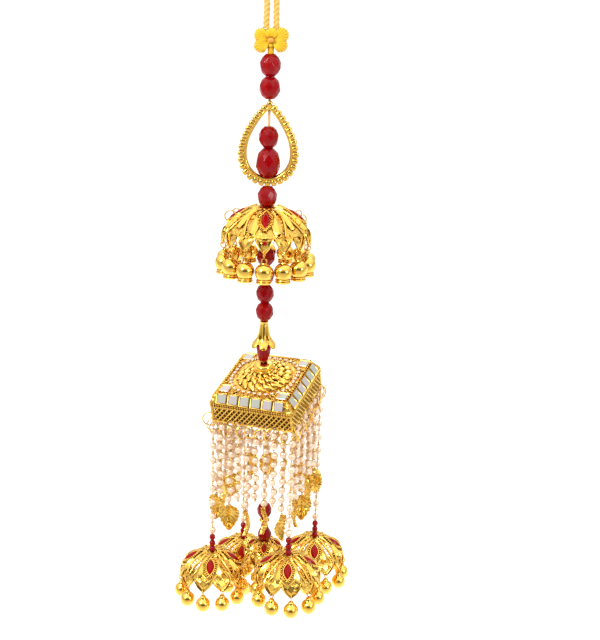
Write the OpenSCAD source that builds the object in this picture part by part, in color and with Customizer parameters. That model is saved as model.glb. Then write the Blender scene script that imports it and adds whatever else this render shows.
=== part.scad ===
// Kalira: a bridal ornament that hangs from the wrist on a doubled cord.
// Millimetres, +Z up. The origin is the inside top of the cord's loop, where it is hung.
// A viewer stands at -Y.

/* [Cord and knot] */
// Diameter of the hanging cord
cord_d = 3.1; // [2.8:0.1:3.4]
// Height of the knot's centre below the loop
knot_drop = 48.2; // [47.8:0.1:48.6]

/* [Ruby beads] */
// Diameter of the ordinary beads
bead_d = 9.6; // [8.4:0.1:9.8]
// Height of the ordinary beads
bead_h = 10.3; // [10.1:0.1:10.4]
// Diameter of the larger bead in the ring
big_bead_d = 11.4; // [10:0.1:12]
// Diameter of the beads under the dome
low_bead_d = 8.8; // [8:0.1:9.2]
// Facets round a bead
bead_sides = 10; // [8:2:10]
// Diameter of the stringing thread
thread_d = 1.2; // [1:0.1:1.3]

/* [Teardrop ring] */
// Outer width of the ring
ring_w = 30; // [28:0.5:31]
// Depth of the ring, front to back
ring_depth = 4.6; // [4:0.1:5.5]

/* [Upper dome] */
// Radius of the dome at its rim
dome_r = 20.6; // [20:0.1:21]
// Height of the dome from its rim
dome_h = 11; // [10.5:0.1:11.5]
// Number of petals and bells
bell_count = 14; // [12:1:14]
// Diameter of a bell
bell_d = 8.9; // [8:0.1:9]

/* [Canopy] */
// Side of the square at the eaves
canopy_side = 44.8; // [44:0.1:45]
// Height of the net walls with their band
wall_h = 12; // [11.8:0.1:12.2]
// Turn of the canopy about the string, in degrees
canopy_turn = -20.5; // [-22:0.5:-19]
// Tilt of the canopy towards the viewer, in degrees
canopy_tilt = 12; // [11:0.5:12.5]
// Tilt of the canopy to the left, in degrees
canopy_lean = -6.5; // [-7:0.5:-6]

/* [Fringe] */
// Diameter of a pearl
pearl_d = 3.8; // [3.4:0.1:3.9]
// Pearl strands on each side
strand_count = 8; // [6:1:8]
// Length of the longest ordinary strand
strand_l = 47; // [40:1:48]
// Pearls on the two corner strands at the front and left
corner_pearls = 8; // [7:1:8]

/* [Lower domes] */
// Radius of a corner dome at its rim
small_r = 16; // [15.8:0.1:16.1]
// Height of a corner dome from its rim
small_h = 8.7; // [8.6:0.1:8.8]
// Drops on a corner dome
ball_count = 10; // [8:1:10]

/* [Hidden] */
$fn = 48;

gold = [0.86, 0.66, 0.2];
ruby = [0.65, 0.03, 0.08];
pearl = [0.95, 0.8, 0.68];
silk = [0.96, 0.78, 0.16];
silver = [0.82, 0.82, 0.86];

gap = 0.12;
bore = thread_d + 0.4;

// Heights along the string, from the top down
bead_1_z = -knot_drop - 6.3 - bead_h / 2;
bead_2_z = bead_1_z - bead_h - gap;
ring_top = bead_2_z - bead_h / 2 - gap;
ring_band = 3.9;
ring_low = 3.4;
ring_h = 41.3;
ring_bottom = ring_top - ring_h;
big_bead_h = 14.2;
bead_4_z = ring_bottom + ring_low + 0.5 + big_bead_h / 2;
bead_3_z = bead_4_z + big_bead_h / 2 + gap + bead_h / 2;
bead_5_z = ring_bottom - gap - bead_h / 2;
dome_top = bead_5_z - bead_h / 2 - gap;
dome_wall = 0.9;
dome_rim = dome_top - dome_h;
low_bead_h = 9.4;
low_pitch = low_bead_h + gap;
bead_6_z = dome_top - dome_wall - 0.2 - low_bead_h / 2;
bead_11_z = bead_6_z - 5 * low_pitch;
tulip_top = bead_11_z - low_bead_h / 2 - gap;
tulip_h = 14;
cone_top = tulip_top - tulip_h + 1.4;
pivot_z = -208;
cone_h = cone_top - pivot_z - 0.6;

// Square of the canopy: radius of its swirled boss, its slope and its collar
half = canopy_side / 2;
slope_in = 3.1;
slope_up = 4.5;
boss_r = 15;
boss_top = 9;
collar_h = 4.1;
sheet = 1;
axis_drop = boss_top + collar_h + 0.2;
band_h = 2.8;
net_h = wall_h - band_h;

// Turns of a point, as a vector
function turn_x(p, a) = [p[0], p[1] * cos(a) - p[2] * sin(a), p[1] * sin(a) + p[2] * cos(a)];
function turn_y(p, a) = [p[0] * cos(a) + p[2] * sin(a), p[1], -p[0] * sin(a) + p[2] * cos(a)];
function turn_z(p, a) = [p[0] * cos(a) - p[1] * sin(a), p[0] * sin(a) + p[1] * cos(a), p[2]];

// A point of the tilted canopy, given in its own square, with z up from the eaves
function canopy_point(p) =
    turn_y(turn_x(turn_z([p[0], p[1], p[2] - axis_drop], canopy_turn), canopy_tilt), canopy_lean)
    + [0, 0, pivot_z];

module on_canopy() {
    translate([0, 0, pivot_z])
        rotate([0, canopy_lean, 0])
            rotate([canopy_tilt, 0, 0])
                rotate([0, 0, canopy_turn])
                    translate([0, 0, -axis_drop])
                        children();
}

// The four corner strands hang from these points of the canopy's lower edge
corner_in = half - 0.6;
corner_sign = [[-1, -1], [1, -1], [1, 1], [-1, 1]];
corner_top = [for (s = corner_sign)
    canopy_point([s[0] * corner_in, s[1] * corner_in, -wall_h]) - [0, 0, 0.3]];

// The lower domes, and the middle of the fringe that the centre string leans to
small_tops = [-314.5, -306.5, -318, -329];
small_wall = 0.8;
fringe_mid = (corner_top[0] + corner_top[1] + corner_top[2] + corner_top[3]) / 4;
centre_top = -313.5;
centre_r = 9.4;
centre_h = 5.5;
centre_count = 7;
centre_ball_d = 6;
centre_turn = 27;
lean_depth = pivot_z - centre_top;
centre_dome_l = norm([fringe_mid[0], fringe_mid[1], lean_depth]);
lean_x = asin(fringe_mid[1] / centre_dome_l);
lean_y = -atan(fringe_mid[0] / lean_depth);

module on_centre_string() {
    translate([0, 0, pivot_z])
        rotate([0, lean_y, 0])
            rotate([lean_x, 0, 0])
                children();
}

// Distance below the pivot, along the leaning string
pear_h = 11;
pear_l = centre_dome_l - gap - pear_h / 2;
spacer_h = 3;
spacer_l = pear_l - pear_h / 2 - gap - spacer_h / 2;
centre_bead_h = 9;
centre_bead_l = spacer_l - spacer_h / 2 - gap - centre_bead_h / 2;

// Route of the hanging cord: out of the knot, up to the loop's top and back
cord_route = [
    [-2.3, 0, -43], [-2.3, 0, -39], [-2.2, 0, -35], [-2.2, 0, -31], [-2.6, 0, -27],
    [-3.6, 0, -23], [-5, 0, -19], [-6.4, 0, -15], [-7.4, 0, -11], [-7.7, 0, -7],
    [-6.9, 0, -3], [-4.8, 0, 0], [-1.9, 0, 1.5], [1.9, 0, 1.5], [4.8, 0, 0],
    [6.9, 0, -3], [7.7, 0, -7], [7.4, 0, -11], [6.4, 0, -15], [5, 0, -19],
    [3.6, 0, -23], [2.6, 0, -27], [2.2, 0, -31], [2.2, 0, -35], [2.3, 0, -39],
    [2.3, 0, -43]
];

// A smooth point of a route: Catmull-Rom between the points i and i + 1
function route_at(r, i, t) =
    let (n = len(r) - 1, a = r[max(i - 1, 0)], b = r[i], c = r[min(i + 1, n)], d = r[min(i + 2, n)])
    0.5 * (2 * b + (c - a) * t + (2 * a - 5 * b + 4 * c - d) * t * t
        + (3 * b - a - 3 * c + d) * t * t * t);
function smooth_route(r, k) = concat(
    [for (i = [0 : len(r) - 2], j = [0 : k - 1]) route_at(r, i, j / k)], [r[len(r) - 1]]);

function unit(v) = v / norm(v);
function tangent(p, i) = unit(p[min(i + 1, len(p) - 1)] - p[max(i - 1, 0)]);

// A tube swept along points, for routes that stay clear of the side direction
module tube(p, d, sides, side) {
    rings = len(p);
    points = [for (i = [0 : rings - 1])
        let (t = tangent(p, i), a = unit(cross(t, side)), b = cross(t, a))
        for (k = [0 : sides - 1])
            p[i] + d / 2 * (a * cos(360 * k / sides) + b * sin(360 * k / sides))];
    skin = [for (i = [0 : rings - 2], k = [0 : sides - 1])
        [i * sides + k, (i + 1) * sides + k,
         (i + 1) * sides + (k + 1) % sides, i * sides + (k + 1) % sides]];
    first = [[for (k = [0 : sides - 1]) k]];
    last = [[for (k = [sides - 1 : -1 : 0]) (rings - 1) * sides + k]];
    polyhedron(points, concat(skin, first, last), convexity = 4);
}

// A faceted bead: a cut barrel with flat ends and a bore
module faceted_bead(d, h, sides, hole) {
    rotate_extrude($fn = sides)
        polygon([
            [hole / 2, h / 2], [0.2 * d, h / 2], [0.36 * d, 0.34 * h], [0.48 * d, 0.14 * h],
            [d / 2, 0], [0.48 * d, -0.14 * h], [0.36 * d, -0.34 * h], [0.2 * d, -h / 2],
            [hole / 2, -h / 2]
        ]);
}

module string_bead(z, d, h) {
    color(ruby)
        translate([0, 0, z])
            faceted_bead(d, h, bead_sides, bore);
}

module hanging_cord() {
    color(silk)
        tube(smooth_route(cord_route, 2), cord_d, 8, [0, 1, 0]);
}

// Bow of wound thread: four fat lobes round a centre bead, on a short neck
knot_lobes = [[-5, 2, 30], [5, 2.6, -30], [-4.2, -2.4, -40], [4.4, -2, 35]];

module bow_knot() {
    lobe_ring = 2.1;
    lobe_wire = 1.65;
    color(silk)
        difference() {
            union() {
                translate([0, 0, -knot_drop]) {
                    for (lobe = knot_lobes)
                        translate([lobe[0], 0, lobe[1]])
                            rotate([90, 0, 0])
                                rotate_extrude()
                                    translate([lobe_ring, 0])
                                        circle(r = lobe_wire, $fn = 24);
                    cube([9, 3, 6], center = true);
                    sphere(r = 2.4, $fn = 24);
                    translate([0, 0, -6.2])
                        cylinder(h = 6, r = 1.15, $fn = 24);
                }
            }
            translate([-6, -3, -43.2])
                cube([12, 6, 6]);
            translate([0, 0, -knot_drop - 7])
                cylinder(h = 3, d = bore, $fn = 24);
        }
}

// The thread runs straight to the canopy and leans below it, with a stop knot in the last dome
module string_thread() {
    top = -knot_drop - 4.2;
    color(silk) {
        translate([0, 0, pivot_z])
            cylinder(h = top - pivot_z, d = thread_d, $fn = 24);
        translate([0, 0, pivot_z])
            sphere(d = thread_d + 0.14, $fn = 24);
        on_centre_string() {
            translate([0, 0, -centre_dome_l - 3])
                cylinder(h = centre_dome_l + 3, d = thread_d, $fn = 24);
            translate([0, 0, -centre_dome_l - small_wall - 1.6])
                sphere(d = 2.6, $fn = 24);
        }
    }
}

module bead_1() { string_bead(bead_1_z, bead_d, bead_h); }
module bead_2() { string_bead(bead_2_z, bead_d, bead_h); }
module bead_3() { string_bead(bead_3_z, bead_d - 0.4, bead_h); }
module bead_4() { string_bead(bead_4_z, big_bead_d, big_bead_h); }
module bead_5() { string_bead(bead_5_z, bead_d - 0.4, bead_h); }
module low_bead(i) { string_bead(bead_6_z - i * low_pitch, low_bead_d, low_bead_h); }
module bead_6() { low_bead(0); }
module bead_7() { low_bead(1); }
module bead_8() { low_bead(2); }
module bead_9() { low_bead(3); }
module bead_10() { low_bead(4); }
module bead_11() { low_bead(5); }

// Half-width of a teardrop at a height from 0 at its tip to 1 at its foot
function drop_half(t) = sqrt(1 - t) * pow(t, 0.9);
function drop_outline(w, h, n) =
    let (widest = drop_half(0.9 / 1.4))
    [for (i = [0 : 2 * n - 1])
        let (q = i <= n ? i / n : 2 - i / n, t = (1 - cos(180 * q)) / 2, s = i <= n ? 1 : -1)
        [s * w / 2 * drop_half(t) / widest, -t * h]];

module teardrop_ring() {
    pip_r = 1.05;
    pips = 34;
    line = drop_outline(ring_w - 2.2 * pip_r, ring_h - 2 * pip_r, pips / 2);
    color(gold)
        difference() {
            union() {
                translate([0, ring_depth / 2, ring_top])
                    rotate([90, 0, 0])
                        linear_extrude(ring_depth)
                            polygon(drop_outline(ring_w - 1.4, ring_h - 1.4, 24)
                                + [for (i = [0 : 47]) [0, -0.7]]);
                for (p = line, side = [-1, 1])
                    translate([p[0], side * (ring_depth / 2 - 0.5), ring_top - pip_r + p[1]])
                        sphere(r = pip_r, $fn = 16);
            }
            translate([0, ring_depth, ring_top - ring_band])
                rotate([90, 0, 0])
                    linear_extrude(2 * ring_depth)
                        polygon(drop_outline(ring_w - 8.6, ring_h - ring_band - ring_low, 24));
            translate([0, 0, ring_bottom - 1])
                cylinder(h = ring_h + 2, d = bore, $fn = 24);
            for (z = [ring_top - 0.5, ring_bottom - 2.6])
                translate([-4, -4, z])
                    cube([8, 8, z > ring_bottom ? 3 : 2.6]);
        }
}

// Marquise outline, n points to a side
function marquise(l, w, n) =
    [for (i = [0 : 2 * n - 1])
        let (a = 180 * i / n, s = sin(a))
        [w / 2 * s * abs(s), l / 2 * cos(a)]];

// Cut marquise stone lying in XY: flat back, girdle and a smaller table
module marquise_stone(l, w, h) {
    n = 5;
    girdle = marquise(l, w, n);
    table = marquise(l * 0.6, w * 0.55, n);
    m = 2 * n;
    points = concat(
        [for (p = girdle) [p[0], p[1], 0]],
        [for (p = girdle) [p[0], p[1], h * 0.4]],
        [for (p = table) [p[0], p[1], h]]);
    faces = concat(
        [[for (i = [m - 1 : -1 : 0]) i]],
        [for (r = [0, 1], i = [0 : m - 1])
            [r * m + i, r * m + (i + 1) % m, (r + 1) * m + (i + 1) % m, (r + 1) * m + i]],
        [[for (i = [0 : m - 1]) 2 * m + i]]);
    polyhedron(points, faces, convexity = 2);
}

// Setting round a marquise stone: a floor and a raised frame
module marquise_frame(l, w, h) {
    linear_extrude(h)
        polygon(
            concat(marquise(l + 2.6, w + 2.4, 8), marquise(l + 0.5, w + 0.5, 8)),
            [[for (i = [0 : 15]) i], [for (i = [0 : 15]) 16 + i]]);
    translate([0, 0, -1.6])
        linear_extrude(1.7)
            polygon(marquise(l + 2.6, w + 2.4, 8));
}

function cap_radius(r, h) = (r * r + h * h) / (2 * h);

// Where a stone sits, as a share of the way from a dome's apex to its rim
stone_seat = 0.6;

// Places children on a cap at an angle round it and down from its top, with Z outwards
module on_cap(big_r, round_angle, down_angle) {
    translate([0, 0, -big_r])
        rotate([0, 0, round_angle])
            rotate([down_angle, 0, 0])
                translate([0, 0, big_r])
                    children();
}

// Tilt of a dome's petals from plumb
function petal_tilt(r, h) = (90 - asin(r / cap_radius(r, h))) * 0.25;

// Petal of the zigzag fringe, hanging from Z 0 in XZ, with a window and an eye for a drop
module petal(w, h, t) {
    eye_z = -h + 1.5;
    difference() {
        translate([0, t / 2, 0])
            rotate([90, 0, 0])
                linear_extrude(t)
                    polygon([[-w / 2, 1.2], [w / 2, 1.2], [w / 2, 0], [1.3, -h + 1],
                        [0.8, -h], [-0.8, -h], [-1.3, -h + 1], [-w / 2, 0]]);
        translate([0, t, 0])
            rotate([90, 0, 0])
                linear_extrude(2 * t)
                    polygon([[-w * 0.24, -h * 0.12], [w * 0.24, -h * 0.12], [0, -h * 0.48]]);
        translate([0, t, eye_z])
            rotate([90, 0, 0])
                cylinder(h = 2 * t, r = 0.75, $fn = 24);
    }
}

// Pierced dome on its rim radius and height, apex at Z 0, with its first petal towards -Y
module pierced_dome(r, h, wall, count, petal_h, stones, stone_l, stone_w, first_stone, ribs, hole) {
    big_r = cap_radius(r, h);
    rim_angle = asin(r / big_r);
    petal_w = 2 * PI * r / count * 0.86;
    difference() {
        union() {
            difference() {
                translate([0, 0, -big_r])
                    sphere(r = big_r, $fn = 96);
                translate([0, 0, -big_r])
                    sphere(r = big_r - wall, $fn = 96);
                translate([-big_r, -big_r, -2 * big_r - h])
                    cube([2 * big_r, 2 * big_r, 2 * big_r]);
            }
            for (i = [0 : count - 1])
                rotate([0, 0, i * 360 / count])
                    translate([0, -r + wall / 2, -h])
                        rotate([-petal_tilt(r, h), 0, 0])
                            petal(petal_w, petal_h, wall);
            for (i = [0 : stones - 1])
                on_cap(big_r, first_stone + i * 360 / stones, rim_angle * stone_seat)
                    marquise_frame(stone_l, stone_w, 0.7);
            for (i = [0 : ribs - 1])
                translate([0, 0, -big_r])
                    rotate([0, 0, first_stone + (i + 0.5) * 360 / ribs])
                        rotate([180, -90, 0])
                            dome_rib(big_r, rim_angle);
        }
        for (i = [0 : ribs - 1], side = [-1, 1])
            rotate([0, 0, first_stone + (i + 0.5) * 360 / ribs])
                translate([side * 1.75 - 0.6, -r * 0.76, -h])
                    cube([1.2, r * 0.36, h + 1]);
        translate([0, 0, -h])
            cylinder(h = 2 * h, d = hole, $fn = 24);
    }
}

// Half-round rib down a cap, in XY from the top of a circle about the origin
module dome_rib(big_r, rim_angle) {
    rotate([0, 0, 12])
        rotate_extrude(angle = rim_angle - 14)
            translate([big_r, 0])
                circle(r = 0.65, $fn = 24);
}

// Upper dome: its petals, its stones and the wire loops that stand out half way down
dome_petal_h = 7.2;
upper_stone = [11, 4];
loop_table = [[-58, 1.6], [-78, 2.8], [62, 1.8], [80, 2.2], [118, 2], [-118, 2]];

module upper_dome() {
    big_r = cap_radius(dome_r, dome_h);
    color(gold)
        translate([0, 0, dome_top]) {
            pierced_dome(dome_r, dome_h, dome_wall, bell_count, dome_petal_h, 4,
                upper_stone[0], upper_stone[1], 0, 8, bore);
            for (l = loop_table)
                on_cap(big_r, l[0], 41)
                    translate([0, 0, l[1] - 0.1])
                        rotate([0, 90, 0])
                            rotate_extrude($fn = 32)
                                translate([l[1], 0])
                                    circle(r = 0.32, $fn = 16);
        }
}

module dome_stones(r, h, stones, l, w, first) {
    big_r = cap_radius(r, h);
    rim_angle = asin(r / big_r);
    color(ruby)
        for (i = [0 : stones - 1])
            on_cap(big_r, first + i * 360 / stones, rim_angle * stone_seat)
                translate([0, 0, 0.25])
                    marquise_stone(l, w, 1.5);
}

module upper_stones() {
    translate([0, 0, dome_top])
        dome_stones(dome_r, dome_h, 4, upper_stone[0], upper_stone[1], 0);
}

// Wire eye in the YZ plane that holds a drop
eye_r = 1.6;

module wire_eye() {
    rotate([0, 90, 0])
        rotate_extrude($fn = 32)
            translate([eye_r, 0])
                circle(r = 0.3, $fn = 16);
}

// Where the eyes' centres stand when they hang in the petals: radius and drop below the rim
function eye_radius(r, h, petal_h, wall) =
    r - wall / 2 + sin(petal_tilt(r, h)) * (petal_h - 1.5);
function eye_drop(r, h, petal_h) = cos(petal_tilt(r, h)) * (petal_h - 1.5) + eye_r + 0.1;

// Round bell with a double foot, hung by its eye at the origin
module bell(d) {
    body_z = -9.3;
    wire_eye();
    translate([0, 0, -5.2])
        cylinder(h = 3.6, r = 0.9, $fn = 24);
    translate([0, 0, body_z])
        sphere(d = d, $fn = 48);
    for (z = [-3.5, -4.7])
        translate([0, 0, body_z + z])
            rotate_extrude()
                translate([0.37 * d, 0])
                    circle(r = 0.65, $fn = 16);
    translate([0, 0, body_z - 5.1])
        cylinder(h = 2.4, r = 0.36 * d, $fn = 48);
}

// Egg-shaped drop: a ball with a drawn-out top, hung by its eye at the origin
module egg_drop(d) {
    wire_eye();
    translate([0, 0, -2.8])
        cylinder(h = 1.2, r = 0.7, $fn = 24);
    translate([0, 0, -2.4 - d * 0.66])
        sphere(d = d, $fn = 48);
    translate([0, 0, -2.4 - d * 0.52])
        cylinder(h = d * 0.52, r1 = d * 0.475, r2 = 0.9, $fn = 48);
}

module upper_bells() {
    radius = eye_radius(dome_r, dome_h, dome_petal_h, dome_wall);
    color(gold)
        for (i = [0 : bell_count - 1])
            rotate([0, 0, i * 360 / bell_count])
                translate([0, -radius, dome_rim - eye_drop(dome_r, dome_h, dome_petal_h)])
                    bell(bell_d);
}

// Fluted flower cap that opens downwards over the cone bead
module tulip_cap() {
    flutes = 6;
    color(gold)
        translate([0, 0, tulip_top])
            difference() {
                rotate_extrude()
                    polygon([
                        [bore / 2, 0], [2.1, 0], [2.3, -1], [2.5, -4], [2.9, -7], [3.6, -9.4],
                        [4.8, -11.4], [6.3, -12.9], [6.2, -tulip_h], [5.2, -12.9], [4.2, -12],
                        [4.2, -11.6], [bore / 2, -10.6]
                    ]);
                for (i = [0 : flutes - 1])
                    rotate([0, 0, (i + 0.5) * 360 / flutes]) {
                        translate([0, -6.9, -tulip_h])
                            cylinder(h = 4.6, r = 1.9, $fn = 32);
                        translate([0, -3.1, -9])
                            cylinder(h = 7.6, r = 0.75, $fn = 24);
                    }
            }
}

module cone_bead() {
    color(ruby)
        translate([0, 0, cone_top - cone_h])
            rotate_extrude($fn = 10)
                polygon([
                    [bore / 2, 0], [1.7, 0], [2.4, 1], [3.9, cone_h - 1.8], [3.6, cone_h - 0.7],
                    [2.4, cone_h], [bore / 2, cone_h]
                ]);
}

// Bore through the tilted collar and roof, wide enough for the plumb thread
tilt_bore = 3;

module collar() {
    color(gold)
        on_canopy()
            translate([0, 0, boss_top + 0.1])
                rotate_extrude()
                    polygon([
                        [tilt_bore / 2, 0], [4.4, 0], [5, 0.7], [5, 1.4], [4.6, 2.2],
                        [4.1, 2.8], [3.8, 3.6], [3.1, collar_h], [tilt_bore / 2, collar_h]
                    ]);
}

// Solid under a hipped roof, from a square at Z 0 in by slope_in and up to slope_up
module hip(side_half) {
    outline = [[-side_half, 0], [side_half, 0],
        [side_half - slope_in, slope_up], [slope_in - side_half, slope_up]];
    intersection() {
        translate([0, side_half, 0])
            rotate([90, 0, 0])
                linear_extrude(2 * side_half)
                    polygon(outline);
        rotate([0, 0, 90])
            translate([0, side_half, 0])
                rotate([90, 0, 0])
                    linear_extrude(2 * side_half)
                        polygon(outline);
    }
}

// Net wall in XZ, facing -Y, its top at Z 0, cut through in staggered rows of diamonds
net_pitch = 4.35;
net_rows = 3;

module net_wall() {
    row_h = (net_h - 1.4) / (net_rows + 1);
    difference() {
        translate([-half + 0.5, 0, -wall_h])
            cube([canopy_side - 1, sheet, wall_h + 0.5]);
        for (row = [0 : net_rows - 1])
            for (i = [0 : 9 - row % 2])
                translate([(i - 4.5 + 0.5 * (row % 2)) * net_pitch, 1.5,
                    -band_h - 0.6 - row_h * (row + 1)])
                    rotate([90, 0, 0])
                        linear_extrude(2)
                            polygon([[0, row_h - 0.4], [net_pitch / 2 - 0.65, 0],
                                [0, 0.4 - row_h], [0.65 - net_pitch / 2, 0]]);
    }
}

module canopy() {
    swirl = 16;
    granules = 28;
    boss_big = cap_radius(boss_r, boss_top - slope_up);
    color(gold)
        on_canopy()
            difference() {
                union() {
                    difference() {
                        hip(half);
                        translate([0, 0, -0.01])
                            intersection() {
                                translate([0, 0, -sheet])
                                    hip(half - 0.4);
                                translate([-half, -half, 0])
                                    cube([2 * half, 2 * half, slope_up]);
                            }
                    }
                    intersection() {
                        translate([0, 0, boss_top - boss_big])
                            sphere(r = boss_big, $fn = 96);
                        translate([0, 0, slope_up - 0.5])
                            cylinder(h = 10, r = boss_r);
                    }
                    for (i = [0 : swirl - 1])
                        rotate([0, 0, i * 360 / swirl])
                            translate([0, 0, boss_top - boss_big])
                                rotate([0, 21, 0])
                                    translate([0, 0, boss_big - 0.15])
                                        rotate([0, 0, -60])
                                            rotate([90, 0, 0])
                                                cylinder(h = 7.5, r = 0.85, center = true, $fn = 16);
                    for (i = [0 : granules - 1])
                        rotate([0, 0, i * 360 / granules])
                            translate([boss_r + 1.1, 0, slope_up + 0.3])
                                sphere(r = 0.95, $fn = 16);
                    for (i = [0 : 3])
                        rotate([0, 0, 90 * i])
                            translate([0, -half + 0.3, 0])
                                net_wall();
                }
                translate([0, 0, boss_top - sheet - boss_big])
                    cylinder(h = 2 * boss_big, d = tilt_bore + 0.4, $fn = 24);
                intersection() {
                    translate([0, 0, boss_top - boss_big])
                        sphere(r = boss_big - 1.2, $fn = 96);
                    translate([0, 0, slope_up - 3])
                        cylinder(h = 10, r = boss_r - 1.4);
                }
            }
}

// Mirrors along the eaves and one in each corner of the roof, 0.15 mm proud of the gold
mirror_side = 4.7;
mirror_pitch = 6.2;

module canopy_mirrors() {
    thick = 0.5;
    slope_angle = atan(slope_up / slope_in);
    color(silver)
        on_canopy()
            for (k = [0 : 3])
                rotate([0, 0, 90 * k]) {
                    for (i = [-2.5 : 2.5])
                        translate([i * mirror_pitch, -half + slope_in / 2, slope_up / 2])
                            rotate([slope_angle, 0, 0])
                                translate([0, 0, 0.15 + thick / 2])
                                    cube([mirror_side, mirror_side, thick], center = true);
                    translate([15.6, -15.6, slope_up + 0.15])
                        translate([-mirror_side / 2, -mirror_side / 2, 0])
                            cube([mirror_side, mirror_side, thick]);
                }
}

// Pearl strands: how much shorter than the longest each one of a side is. Leaves hang on odd ones.
strand_cut = [5.6, 2, 4.4, 0, 6.5, 2.8, 5, 1.2];
function strand_length(side, i) = strand_l - strand_cut[i % 8] - 0.7 * side;
strand_pitch = 4.9;
function strand_top(side, i) =
    canopy_point(turn_z([(i - (strand_count - 1) / 2) * strand_pitch, -half + 0.8, -wall_h],
        90 * side)) - [0, 0, 0.7];
// Outward direction of a side in the plan, and how far its strands sway
function side_out(side) = turn_z([0, -1, 0], 90 * side + canopy_turn);
function strand_sway(side, i, t) = 0.9 * sin(180 * t) * cos(180 * i) * side_out(side);
function strand_point(side, i, t) =
    strand_top(side, i) + strand_sway(side, i, t) - [0, 0, strand_length(side, i) * t];

module fringe(side) {
    steps = 5;
    color(pearl)
        for (i = [0 : strand_count - 1])
            tube([for (k = [0 : steps]) strand_point(side, i, k / steps)], pearl_d, 8,
                side_out(side));
}

module fringe_front() { fringe(0); }
module fringe_right() { fringe(1); }
module fringe_back() { fringe(2); }
module fringe_left() { fringe(3); }

// Stamped leaf hanging from the origin: half-width and bow at stations down its length
leaf_l = 14.5;
leaf_w = 10;
leaf_t = 0.9;
function leaf_half(t) = leaf_w / 2 * pow(sin(180 * pow(t, 0.8)), 0.7) + 0.7 * (1 - t);
function leaf_bow(t, u) = 2.2 * sin(180 * t) - 1.2 * abs(u);

module leaf() {
    n = 7;
    m = 4;
    across = [-1, 0, 1, 0];
    points = [for (i = [0 : n]) let (t = i / n)
        for (k = [0 : m - 1])
            let (u = across[k], lift = k == 3 ? leaf_t : (k == 1 ? 0 : leaf_t / 2))
            [u * max(leaf_half(t), 0.35), leaf_bow(t, u) - lift, -leaf_l * t]];
    skin = [for (i = [0 : n - 1], k = [0 : m - 1], half = [0, 1])
        let (a = i * m + k, b = i * m + (k + 1) % m)
        half == 0 ? [a, b + m, b] : [a, a + m, b + m]];
    ends = [[0, 1, 2], [0, 2, 3], [n * m + 2, n * m + 1, n * m], [n * m + 3, n * m + 2, n * m]];
    polyhedron(points, concat(skin, ends), convexity = 4);
}

// Leaves of a side: the strand that holds each and its turn
leaf_table = [[1, 25], [3, -65], [5, 40], [7, 80]];

module leaves(side) {
    color(gold)
        for (l = leaf_table)
            translate(strand_point(side, l[0], 1) - [0, 0, 0.4])
                rotate([0, 0, 90 * side + canopy_turn + l[1]])
                    leaf();
}

module leaves_front() { leaves(0); }
module leaves_right() { leaves(1); }
module leaves_back() { leaves(2); }
module leaves_left() { leaves(3); }

// Corner strands: drilled pearls, then three small rubies, above a dome
corner_pearl_d = 3.9;
corner_thread_d = 0.6;
corner_bore = 0.9;
corner_first = 5.5;
cluster_d = 3.4;
cluster_pitch = 3.55;
extra_pearls = [0, 0, 2, 3];
function pearls_on(c) = corner_pearls + extra_pearls[c];
function cluster_z(c, i) = small_tops[c] + 0.15 + cluster_d / 2 + i * cluster_pitch;
function corner_pearl_z(c, i) =
    let (top = corner_top[c][2] - corner_first, bottom = cluster_z(c, 3) + 0.6)
    top + (bottom - top) * i / (pearls_on(c) - 1);

module corner_strand_pearls(c) {
    color(pearl)
        for (i = [0 : pearls_on(c) - 1])
            translate([corner_top[c][0], corner_top[c][1], corner_pearl_z(c, i)])
                difference() {
                    sphere(d = corner_pearl_d, $fn = 32);
                    cylinder(h = 6, d = corner_bore, center = true, $fn = 24);
                }
}

module corner_pearls_1() { corner_strand_pearls(0); }
module corner_pearls_2() { corner_strand_pearls(1); }
module corner_pearls_3() { corner_strand_pearls(2); }
module corner_pearls_4() { corner_strand_pearls(3); }

module corner_threads() {
    color(silk)
        for (c = [0 : 3])
            let (top = corner_top[c], foot = small_tops[c]) {
                translate([top[0], top[1], foot - 2.4])
                    cylinder(h = top[2] - foot + 2.4, d = corner_thread_d, $fn = 24);
                translate([top[0], top[1], foot - small_wall - 1.4])
                    sphere(d = 2.2, $fn = 24);
            }
}

module corner_ruby(c) {
    color(ruby)
        for (i = [0 : 2])
            translate([corner_top[c][0], corner_top[c][1], cluster_z(c, i)])
                faceted_bead(cluster_d, cluster_d, 8, corner_bore);
}

module corner_ruby_1() { corner_ruby(0); }
module corner_ruby_2() { corner_ruby(1); }
module corner_ruby_3() { corner_ruby(2); }
module corner_ruby_4() { corner_ruby(3); }

// Lower domes: each turned so that the middle of the part faces a space between two drops
small_petal_h = 6;
small_stone = [9, 3.8];
centre_stone = [5.6, 2.6];
ball_d = 7.8;
function inward(c) = atan2(fringe_mid[1] - corner_top[c][1], fringe_mid[0] - corner_top[c][0]);
function dome_turn(c) = inward(c) + 90 + 180 / ball_count;

module at_corner(c) {
    translate([corner_top[c][0], corner_top[c][1], small_tops[c]])
        rotate([0, 0, dome_turn(c)])
            children();
}

module corner_dome(c) {
    color(gold)
        at_corner(c)
            pierced_dome(small_r, small_h, small_wall, ball_count, small_petal_h, 4,
                small_stone[0], small_stone[1], stone_turn(c), 4, corner_bore);
}

// The stones look to the four sides of the part, whatever way the dome is turned
function stone_turn(c) = -dome_turn(c);

module corner_dome_stones(c) {
    at_corner(c)
        dome_stones(small_r, small_h, 4, small_stone[0], small_stone[1], stone_turn(c));
}

module dome_balls(r, h, count, d) {
    radius = eye_radius(r, h, small_petal_h, small_wall);
    color(gold)
        for (i = [0 : count - 1])
            rotate([0, 0, i * 360 / count])
                translate([0, -radius, -h - eye_drop(r, h, small_petal_h)])
                    egg_drop(d);
}

module corner_dome_balls(c) {
    at_corner(c)
        dome_balls(small_r, small_h, ball_count, ball_d);
}

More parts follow.
